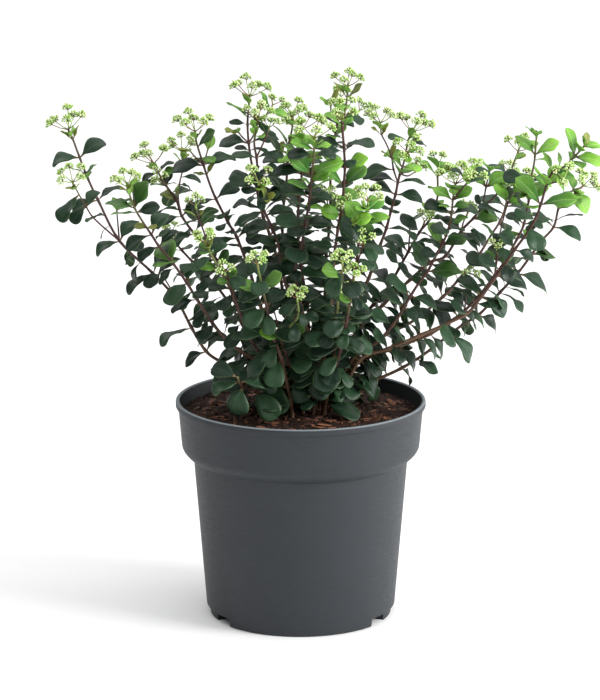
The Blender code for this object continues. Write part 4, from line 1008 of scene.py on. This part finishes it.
# What a leaf that would cross another stem tries: turn, lift, length
TRIES = (
    (0, 0, 1), (14, 0, 1), (-14, 0, 1), (0, 16, 1), (0, -16, 1), (28, 0, 1), (-28, 0, 1), (20, 18, 0.92),
    (-20, 18, 0.92), (20, -18, 0.92), (-20, -18, 0.92), (38, 0, 0.85), (-38, 0, 0.85), (0, 30, 0.85),
    (0, -30, 0.85),
)


def way_at(points, number):
    """The way that a shoot runs at this point."""
    before = points[max(number - 1, 0)]
    after = points[min(number + 1, len(points) - 1)]
    return (after - before).normalized()


def outward_at(way, turn):
    """The way out of a stem at this turn about it. Turn 0 lies across the view."""
    return Matrix.Rotation(math.radians(turn), 3, way) @ way.cross(VIEW).normalized()


def leaf_frame(way, turn, opening, roll):
    """The way a leaf points and the way its upper face looks, which is up and to the front."""
    outward = outward_at(way, turn)
    along = way * math.cos(math.radians(opening)) + outward * math.sin(math.radians(opening))
    normal = (way - along * way.dot(along)).normalized() + UP * LEAF_TO_LIGHT - VIEW * roll
    return along, (normal - along * normal.dot(along)).normalized()


def leaf_places(shoot, place, half_turn, draw):
    """Every way in which this leaf may stand: its kind, length, root, way and upper side."""
    leaf, length, turn = shoot["traced"][place - shoot["first"]][2:]
    turn += half_turn
    way = way_at(shoot["points"], place)
    root = shoot["points"][place] + outward_at(way, turn) * radius_at(shoot, place) * STEM_SQUARE
    turn += draw.uniform(-LEAF_SPREAD, LEAF_SPREAD)
    opening = leaf["open"] + draw.uniform(-LEAF_SPREAD, LEAF_SPREAD)
    roll = draw.uniform(*LEAF_TO_FRONT) * leaf["open"] / OLD["open"]
    return [
        (leaf, length * shorter * MM, root, *leaf_frame(way, turn + more_turn, opening + lift, roll))
        for more_turn, lift, shorter in TRIES
    ]


def on_midrib(leaf, length, root, along, normal, share):
    """The point at this share of a leaf's bent midrib, and the way its upper face looks there."""
    curl = math.radians(leaf["bend"]) / length
    turn = curl * length * share
    middle = root + along * (math.sin(turn) / curl) - normal * ((1 - math.cos(turn)) / curl)
    return middle, normal * math.cos(turn) + along * math.sin(turn)


def is_packed(corners, leaf, length, root, along, normal):
    """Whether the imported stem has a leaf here, by a corner of its tip."""
    middle, facing = on_midrib(leaf, length, root, along, normal, 1)
    half_width = length * leaf["width"] * TIP_WIDTHS[length > LONG_LEAF] / 2
    corner = middle + normal.cross(along) * half_width + facing * LEAF_THICKNESS / 2
    return corners.find(corner)[2] < MATCH


def outline(leaf, share):
    """The width of a blade at this share of its length, before it is scaled."""
    return share ** leaf["late"] * max(0.003, 1 - share ** TIP_FALL) ** leaf["taper"]


blade_shares = [1 - (1 - row / (BLADE_ROWS - 1)) ** BLADE_TO_TIP for row in range(BLADE_ROWS)]
blade_faces = [face[::-1] for face in net(BLADE_ROWS, len(BLADE_COLUMNS), False)]
blade_marks = {
    "across": [across for share in blade_shares for across in BLADE_COLUMNS],
    "along": [share for share in blade_shares for across in BLADE_COLUMNS],
}
for kind in (OLD, NEW, BUD, LOW, TERMINAL):
    kind["widest"] = max(outline(kind, share / 100) for share in range(100))


def blade(leaf, length, root, along, normal, draw):
    """A leaf's points, in rows from its root to its tip."""
    side = normal.cross(along)
    phase = draw.uniform(0, math.tau)
    wave = draw.uniform(*BLADE_WAVE) * length
    lean = draw.uniform(-BLADE_LEAN, BLADE_LEAN)
    fold = leaf["fold"] * draw.uniform(*BLADE_FOLD)
    points = []
    for share in blade_shares:
        past_stalk = max(0.0, (share - STALK_SHARE) / (1 - STALK_SHARE))
        full = outline(leaf, past_stalk) / leaf["widest"]
        stalk = STALK_WIDTH * (1 - STALK_THINNER * share)
        half_width = max(stalk, full * length * leaf["width"] * leaf["full"] / 2)
        middle, facing = on_midrib(leaf, length, root, along, normal, share)
        aside = side * math.cos(lean * share) + facing * math.sin(lean * share)
        for across in BLADE_COLUMNS:
            lift = half_width * fold * (abs(across) - FOLD_ROUND * across * across)
            ripple = math.sin(phase + BLADE_WAVE_TURN * share + across) * past_stalk * (1 - past_stalk) * 4
            lift += wave * across * across * ripple
            points.append(middle + aside * half_width * across + facing * lift)
    return points


# Leathery and satin, with pale veins and edge: dark blue-green when old, bright when young and
# greenest at its foot, bronze in bud. The skin's grain is finer in life, and drawn so that it shows
upper, tree, shader = new_material("Upper side of a leaf")
across, along, age, tone = (
    add(tree, "Attribute", output="Fac", attribute_name=mark) for mark in ("across", "along", "age", "tone")
)
off_midrib = add(tree, "Math", across, operation="ABSOLUTE")
young = add(tree, "MapRange", age, 0.22, 0.5)
bronze = add(tree, "MapRange", age, 0.6)
dark_pair = add(tree, "MixRGB", tone, "#14261c", "#2c4930")
paling = add(tree, "Math", tone, along, operation="ADD")
pale = add(tree, "MapRange", paling, 0.25, 1.75)
light_pair = add(tree, "MixRGB", pale, "#2e6d1e", "#88c03c")
bronze_pair = add(tree, "MixRGB", tone, "#66702c", "#8d9140")
greener = add(tree, "MixRGB", young, dark_pair, light_pair)
aged = add(tree, "MixRGB", bronze, greener, bronze_pair)
place = add(tree, "TexCoord", output="Object")
cloud = add(tree, "TexNoise", Vector=place, Scale=1 / LEAF_MOTTLE, Detail=3)
patchy = add(tree, "MapRange", cloud, 0.35, 0.7, 0, 0.4)
lighter = add(tree, "HueSaturation", Color=aged, Value=1.45, Saturation=0.92)
mottled = add(tree, "MixRGB", patchy, aged, lighter)
# Side veins leave the midrib every ninth of the blade and slant towards its tip
slanted = add(tree, "Math", off_midrib, -0.30, along, operation="MULTIPLY_ADD")
wander = add(tree, "Math", cloud, 0.05, slanted, operation="MULTIPLY_ADD")
saw = add(tree, "Math", wander, 0.055, operation="PINGPONG")
# The veins show clearly on a young leaf and faintly on an old one
clearness = add(tree, "Math", young, 0.36, 0.26, operation="MULTIPLY_ADD")
finer = add(tree, "Math", clearness, 0.45, operation="MULTIPLY")
midrib = add(tree, "MapRange", off_midrib, 0.03, 0.075, clearness, 0.0)
vein = add(tree, "MapRange", saw, 0, 0.010, finer, 0.0)
lines = add(tree, "Math", vein, midrib, operation="MAXIMUM")
paler = add(tree, "MixRGB", young, "#4a6045", "#b0d87c")
veined = add(tree, "MixRGB", lines, mottled, paler)
edge = add(tree, "MapRange", off_midrib, 0.92, 0.98, 0, 0.2)
drawn = add(tree, "MixRGB", edge, veined, "#8fa861")
stalk = add(tree, "MapRange", along, 0.1, 0.16, 1.0, 0.0)
finished = add(tree, "MixRGB", stalk, drawn, "#6d5a3a")
leather = add(tree, "TexNoise", Vector=place, Scale=1 / LEAF_GRAIN, Detail=2)
sunk = add(tree, "Math", lines, -1.0, leather, operation="MULTIPLY_ADD")
relief = add(tree, "Bump", Height=sunk, Strength=0.55, Distance=0.4 * MM)
gloss = add(tree, "MapRange", cloud, 0, 1, 0.26, 0.46)
fill(tree, shader, {
    "Base Color": finished, "Roughness": gloss, "IOR": 1.4, "Specular IOR Level": 0.38, "Normal": relief,
})

# Paler and duller than above, with a raised midrib and a fine felt of hairs
lower, tree, shader = new_material("Underside of a leaf")
across, age = (add(tree, "Attribute", output="Fac", attribute_name=mark) for mark in ("across", "age"))
off_midrib = add(tree, "Math", across, operation="ABSOLUTE")
young = add(tree, "MapRange", age, 0.22, 0.5)
matt = add(tree, "MixRGB", young, "#33502f", "#7fb04c")
midrib = add(tree, "MapRange", off_midrib, 0.04, 0.12, 0.9, 0.0)
ribbed = add(tree, "MixRGB", midrib, matt, "#7d9563")
place = add(tree, "TexCoord", output="Object")
felt = add(tree, "TexNoise", Vector=place, Scale=1 / LEAF_FELT, Detail=3)
raised = add(tree, "Math", felt, midrib, operation="ADD")
relief = add(tree, "Bump", Height=raised, Strength=0.5, Distance=0.3 * MM)
fill(tree, shader, {"Base Color": ribbed, "Roughness": 0.62, "Normal": relief})


def in_reach(tip):
    """Whether a filling leaf's tip is above the soil or the pot's rim, and inside the solids' box."""
    over_soil = math.hypot(tip.x, tip.y) < LITTER_RADIUS
    if tip.z < (SOIL_HEIGHT if over_soil else POT_HEIGHT) + FILL_ABOVE:
        return False
    return all(low < value < high for low, value, high in zip(cad_box[0], tip, cad_box[1]))


def filling(shoot, draw):
    """The small leaves between the traced pairs, densest in the middle of the plant."""
    points = shoot["points"]
    last = len(points) - 1
    leafy = [points[place] for place, traced in enumerate(shoot["traced"], shoot["first"]) if len(traced) > 2]
    placed = []
    for number in range(1, last):
        start, end = points[number], points[number + 1]
        way = (end - start).normalized()
        near_tip = number / last > YOUNG_SHARE
        for step in range(1, int((end - start).length / FILL_STEP) + 1):
            spot = start + way * FILL_STEP * (step - draw.random() / 2)
            if any((spot - one).length < FILL_CLEAR for one in leafy):
                continue
            flank = min(1, abs(spot.x) / FILL_REACH)
            likely = FILL_TIPS if near_tip else FILL_MIDDLE + (FILL_FLANK - FILL_MIDDLE) * flank
            turn = draw.uniform(0, 180)
            for half_turn in (0, 180):
                length = draw.uniform(*FILL_LENGTHS)
                bronze = spot.x < BRONZE_EDGE and draw.random() < BRONZE_SHARE
                opening = draw.uniform(*FILL_OPEN)
                roll = draw.uniform(*FILL_TO_FRONT)
                if draw.random() > likely:
                    continue
                if near_tip and spot.z > YOUNG_HEIGHT:
                    kind = BUD if bronze else NEW
                    length *= BRONZE_SHORTER if bronze else YOUNG_SHORTER
                else:
                    kind = OLD
                    length *= LARGER if spot.z < LARGE_BELOW else 1 + FLANK_LARGER * flank
                bend = kind["bend"] * draw.uniform(*FILL_BEND)
                leaf = dict(kind, bend=bend, full=kind["full"] * draw.uniform(*FILL_FULL))
                root = spot + outward_at(way, turn + half_turn) * SIDE_RADII[1] * SLIM
                along, normal = leaf_frame(way, turn + half_turn, opening, roll)
                if in_reach(on_midrib(leaf, length * MM, root, along, normal, 1)[0]):
                    placed.append((leaf, length * MM, root, along, normal))
    return placed


def at_the_tip(shoot, draw):
    """The two opposite pairs of very young leaves that close a shoot high up, one inside the other."""
    tip = shoot["points"][-1]
    if tip.z <= YOUNG_HEIGHT or shoot["head"] is SMALL:
        return []
    way = way_at(shoot["points"], len(shoot["points"]) - 1)
    turn = draw.uniform(0, 180)
    kind = BUD if tip.x < BRONZE_EDGE or draw.random() < TERMINAL_BRONZE else TERMINAL
    below = 0 if shoot["head"] is None else draw.uniform(*TERMINAL_BELOW)
    placed = []
    for half_turn in (0, 180):
        for opening, length in TERMINAL_LEAVES:
            turn += 45
            opening += draw.uniform(-TERMINAL_SPREAD, TERMINAL_SPREAD)
            frame_there = leaf_frame(way, turn + half_turn, opening, draw.uniform(*TERMINAL_TO_FRONT))
            length *= draw.uniform(*TERMINAL_LENGTHS)
            placed.append((kind, length, tip - way * below, *frame_there))
    return placed


def add_leaf(leaves, leaf, draw, near_tip=None):
    """Adds a leaf. Young ones low down and on the plant's left have already darkened."""
    kind, length, root = leaf[:3]
    points = blade(*leaf, draw)
    age = kind["age"] + draw.uniform(0, AGE_SPREAD)
    if kind["age"] == NEW["age"] and (root.x < BRONZE_EDGE or root.z < YOUNG_HEIGHT):
        age -= DARKENED
    if near_tip is not None:
        age += TIP_AGE * draw.random() * near_tip ** 3
    leaves.patch(points, blade_faces, age=age, tone=draw.random(), **blade_marks)


for number, shoots in enumerate(plants):
    draw = random.Random(LEAF_SEED + number)
    more = random.Random(MORE_SEED + number)
    packed = frame["nodes"][f"leafy_stem_{number + 1:02d}"].data.vertices
    corners = KDTree(len(packed))
    for corner in packed:
        corners.insert(corner.co, corner.index)
    corners.balance()
    leaves = Patchwork("across", "along", "age", "tone")
    for shoot in shoots:
        last = len(shoot["points"]) - 1
        for place, traced in enumerate(shoot["traced"], shoot["first"]):
            if len(traced) < 3:
                continue
            in_source = traced[3] >= LEAST_LEAF or last - place < 2
            for half_turn in (0, 180):
                found = leaf_places(shoot, place, half_turn, draw if in_source else more)
                if in_source:
                    found = [leaf for leaf in found if is_packed(corners, *leaf)]
                if found:
                    add_leaf(leaves, found[0], more, place / last)
        for leaf in filling(shoot, more) + at_the_tip(shoot, more):
            add_leaf(leaves, leaf, more)
    name = f"leaves_{number + 1:02d}"
    piece = new_piece(name, leaves.mesh(name), upper, lower)
    thick = piece.modifiers.new("Thickness", "SOLIDIFY")
    thick.thickness = BLADE_THICKNESS
    thick.offset = -1
    thick.material_offset = 1
    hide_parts(f"leafy_stem_{number + 1:02d}")

# Flower heads
# Flat-topped clusters of flower buds on the ends of the stems: a short stalk, a few thin reddish or
# green rays, and at the end of each ray a bunch of tight pale green buds on hair-thin stalks.
HEAD_SEED = 900
HUB_LENGTH = 3 * MM
HUB_RADIUS = 1.3 * MM
HEAD_TO_LIGHT = 0.8
RAY_ASIDE = 5
RAY_TILTS = (0.92, 1.06)
RAY_LENGTHS = (0.9, 1.06)
RAY_RADII = (0.62 * MM, 0.42 * MM, 0.42 * MM)
RAY_SIDES = 6
RAY_SAG = 0.05
UPRIGHT_TILT = 16
HEAD_STALK_RADII = (1.1 * MM, 1.0 * MM, 0.9 * MM, 0.6 * MM)
HEAD_STALK_SIDES = 8
CLUSTER_HEIGHT = 0.4
FULL_CLUSTER = 0.94
DOME = 3.6 * MM
DOME_SUNK = 2.6 * MM
GOLDEN_ANGLE = 137.5
BUD_STALK_RADII = (0.256 * MM, 0.16 * MM)
BUD_STALK_SIDES = 3
BUD_LENGTH = 2.5 * MM
BUD_WIDTH = 1.9 * MM
BUD_RINGS = ((0.0, 0.35), (0.25, 0.8), (0.6, 1.0), (0.88, 0.6))
BUD_SIDES = 6
BUD_TURN = 0.25
BUD_UNEVEN = 0.7
BUD_OUT = (0.85, 1.05)
BUD_LEAN = 1.3
BUD_GROWTH = (0.75, 1.15)
BUD_SUNK = 0.2 * MM
STALK_BLUSH = 16.7 * MM
STALK_DOWN = 0.333 * MM
BUD_SEAM = 0.556 * MM


def hub_sides(size, axis, tip, draw):
    """The ways that the rays leave the hub's sides, in the order in which they grow, and its middle."""
    turned = axis.to_track_quat("Z", "Y").to_matrix() @ Matrix.Rotation(draw.uniform(0, math.tau), 3, "Z")
    shape = bmesh.new()
    bmesh.ops.create_cone(
        shape, cap_ends=True, segments=size["rays"], radius1=HUB_RADIUS, radius2=0, depth=HUB_RADIUS,
        matrix=Matrix.Translation(tip + axis * HUB_LENGTH) @ turned.to_4x4(),
    )
    bmesh.ops.remove_doubles(shape, verts=shape.verts, dist=HUB_RADIUS / 100)
    shape.normal_update()
    foot = min(shape.faces, key=lambda face: face.normal.dot(axis))
    normals = [face.normal.copy() for face in shape.faces if face != foot]
    normals.sort(key=lambda way: math.atan2(way.dot(turned.col[1]), way.dot(turned.col[0])))
    middle = foot.calc_center_median()
    shape.free()
    return normals, middle


def rays_of(size, axis, tip, draw):
    """The hub's middle, and the end of each ray with the way that it points."""
    normals, middle = hub_sides(size, axis, tip, draw)
    around = size["rays"] - size["upright"]
    closer = 360 / around - 360 / size["rays"]
    ways = []
    for number, normal in enumerate(normals):
        outward = (normal - axis * normal.dot(axis)).normalized()
        tilt = math.radians(UPRIGHT_TILT)
        if number < around:
            tilt = math.radians(size["spread"] * draw.uniform(*RAY_TILTS))
            aside = closer * (number - (around - 1) / 2) + draw.uniform(-RAY_ASIDE, RAY_ASIDE)
            outward = Matrix.Rotation(math.radians(aside), 3, axis) @ outward
        ways.append(axis * math.cos(tilt) + outward * math.sin(tilt))
    return middle, [(middle + way * size["length"] * draw.uniform(*RAY_LENGTHS), way) for way in ways]


bud_faces = net(len(BUD_RINGS), BUD_SIDES, True) + [tuple(range(BUD_SIDES))[::-1]]
for side in range(BUD_SIDES):
    below = (len(BUD_RINGS) - 1) * BUD_SIDES
    bud_faces.append((below + side, below + (side + 1) % BUD_SIDES, below + BUD_SIDES))
bud_rise = [rise for rise, wide in BUD_RINGS for side in range(BUD_SIDES)] + [1]


def bud(spot, way, grown):
    """A closed bud's points, in rings from its foot at the spot, and its tip."""
    tip = spot + way * BUD_LENGTH * grown
    middles = [spot.lerp(tip, rise) for rise, wide in BUD_RINGS]
    radii = [BUD_WIDTH * grown / 2 * wide for rise, wide in BUD_RINGS]
    return tube(middles, radii, BUD_SIDES)[0] + [tip]


def add_head(stalks, buds, size, tip, stem_way, grown, drawn):
    """Adds a head's rays and buds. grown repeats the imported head's draws, drawn is for the rest."""
    axis = (stem_way + UP * HEAD_TO_LIGHT).normalized()
    middle, rays = rays_of(size, axis, tip, grown)
    stalk = [tip - stem_way * MM, tip, middle, middle + axis * MM]
    stalks.patch(*tube(stalk, HEAD_STALK_RADII, HEAD_STALK_SIDES), tone=drawn.random())
    radius = size["cluster"] * FULL_CLUSTER / 2
    for end, way in rays:
        bow = middle.lerp(end, 0.5) - axis * (end - middle).length * RAY_SAG
        stalks.patch(*tube([middle, bow, end], RAY_RADII, RAY_SIDES), tone=drawn.random())
        upright = (way + axis).normalized()
        across = upright.orthogonal().normalized()
        aside = upright.cross(across)
        for number in range(size["buds"]):
            share = math.sqrt((number + 0.5) / size["buds"])
            angle = math.radians(GOLDEN_ANGLE) * number + drawn.uniform(-BUD_TURN, BUD_TURN)
            outward = across * math.cos(angle) + aside * math.sin(angle)
            rise = size["cluster"] * CLUSTER_HEIGHT + DOME * (1 - share ** 2) - DOME_SUNK
            rise += drawn.uniform(-BUD_UNEVEN, BUD_UNEVEN) * MM
            spot = end + upright * rise + outward * radius * share * drawn.uniform(*BUD_OUT)
            lean = (upright + outward * share * BUD_LEAN).normalized()
            growth = drawn.uniform(*BUD_GROWTH)
            stalks.patch(*tube([end, spot], BUD_STALK_RADII, BUD_STALK_SIDES), tone=drawn.random())
            points = bud(spot - lean * BUD_SUNK, lean, growth)
            buds.patch(points, bud_faces, tone=drawn.random(), rise=bud_rise)


# Green skin that blushes reddish brown in patches. Its down is too fine to show, so it is drawn
# at a third of a millimetre, and only softens the shine
stalk_skin, tree, shader = new_material("Flower stalks")
tone = add(tree, "Attribute", output="Fac", attribute_name="tone")
place = add(tree, "TexCoord", output="Object")
cloud = add(tree, "TexNoise", Vector=place, Scale=1 / STALK_BLUSH, Detail=2)
blush = add(tree, "Math", tone, cloud, operation="MULTIPLY")
ruddy = add(tree, "MapRange", blush, 0.1, 0.45)
skin = add(tree, "MixRGB", ruddy, "#8fae58", "#8a5c46")
down = add(tree, "TexNoise", Vector=place, Scale=1 / STALK_DOWN)
relief = add(tree, "Bump", Height=down, Strength=0.3, Distance=0.1 * MM)
fill(tree, shader, {"Base Color": skin, "Roughness": 0.6, "Normal": relief})

# Folded petals, pale green to cream from bud to bud, in a greener calyx that is darkened as painted shade
# in the gaps between buds. Their seams are a fine relief
bud_skin, tree, shader = new_material("Closed flower buds")
tone, rise = (add(tree, "Attribute", output="Fac", attribute_name=mark) for mark in ("tone", "rise"))
petal = add(tree, "MixRGB", tone, "#93c448", "#e8f2b8")
# The darker green at each bud's foot is its calyx and also painted shade in the gaps between buds
calyx_and_shade_mask = add(tree, "MapRange", rise, 0.1, 0.5, 1.0, 0.0)
calyx_and_shade = add(tree, "MixRGB", calyx_and_shade_mask, petal, "#578a2c")
place = add(tree, "TexCoord", output="Object")
seam = add(tree, "TexNoise", Vector=place, Scale=1 / BUD_SEAM, Detail=2)
relief = add(tree, "Bump", Height=seam, Strength=0.4, Distance=0.2 * MM)
fill(tree, shader, {"Base Color": calyx_and_shade, "Roughness": 0.55, "Normal": relief})

head_number = 0
for number, shoots in enumerate(plants):
    grown = random.Random(number)
    drawn = random.Random(HEAD_SEED + number)
    small = (Patchwork("tone"), Patchwork("tone", "rise"))
    for shoot in shoots:
        size = shoot["head"]
        if size is None:
            continue
        tip = shoot["points"][-1]
        way = (tip - shoot["points"][-2]).normalized()
        if size is SMALL:
            add_head(*small, size, tip, way, grown, drawn)
            continue
        head_number += 1
        patches = (Patchwork("tone"), Patchwork("tone", "rise"))
        add_head(*patches, size, tip + way * GAP, way, grown, drawn)
        for part, patchwork, skin in (("stalks", patches[0], stalk_skin), ("buds", patches[1], bud_skin)):
            name = f"head_{part}_{head_number:02d}"
            piece = new_piece(name, patchwork.mesh(name), skin)
            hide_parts(f"flower_head_{head_number:02d}")
    for part, patchwork, skin in (("stalks", small[0], stalk_skin), ("buds", small[1], bud_skin)):
        if patchwork.points:
            name = f"small_head_{part}_{number + 1:02d}"
            piece = new_piece(name, patchwork.mesh(name), skin)
            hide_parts(f"leafy_stem_{number + 1:02d}")
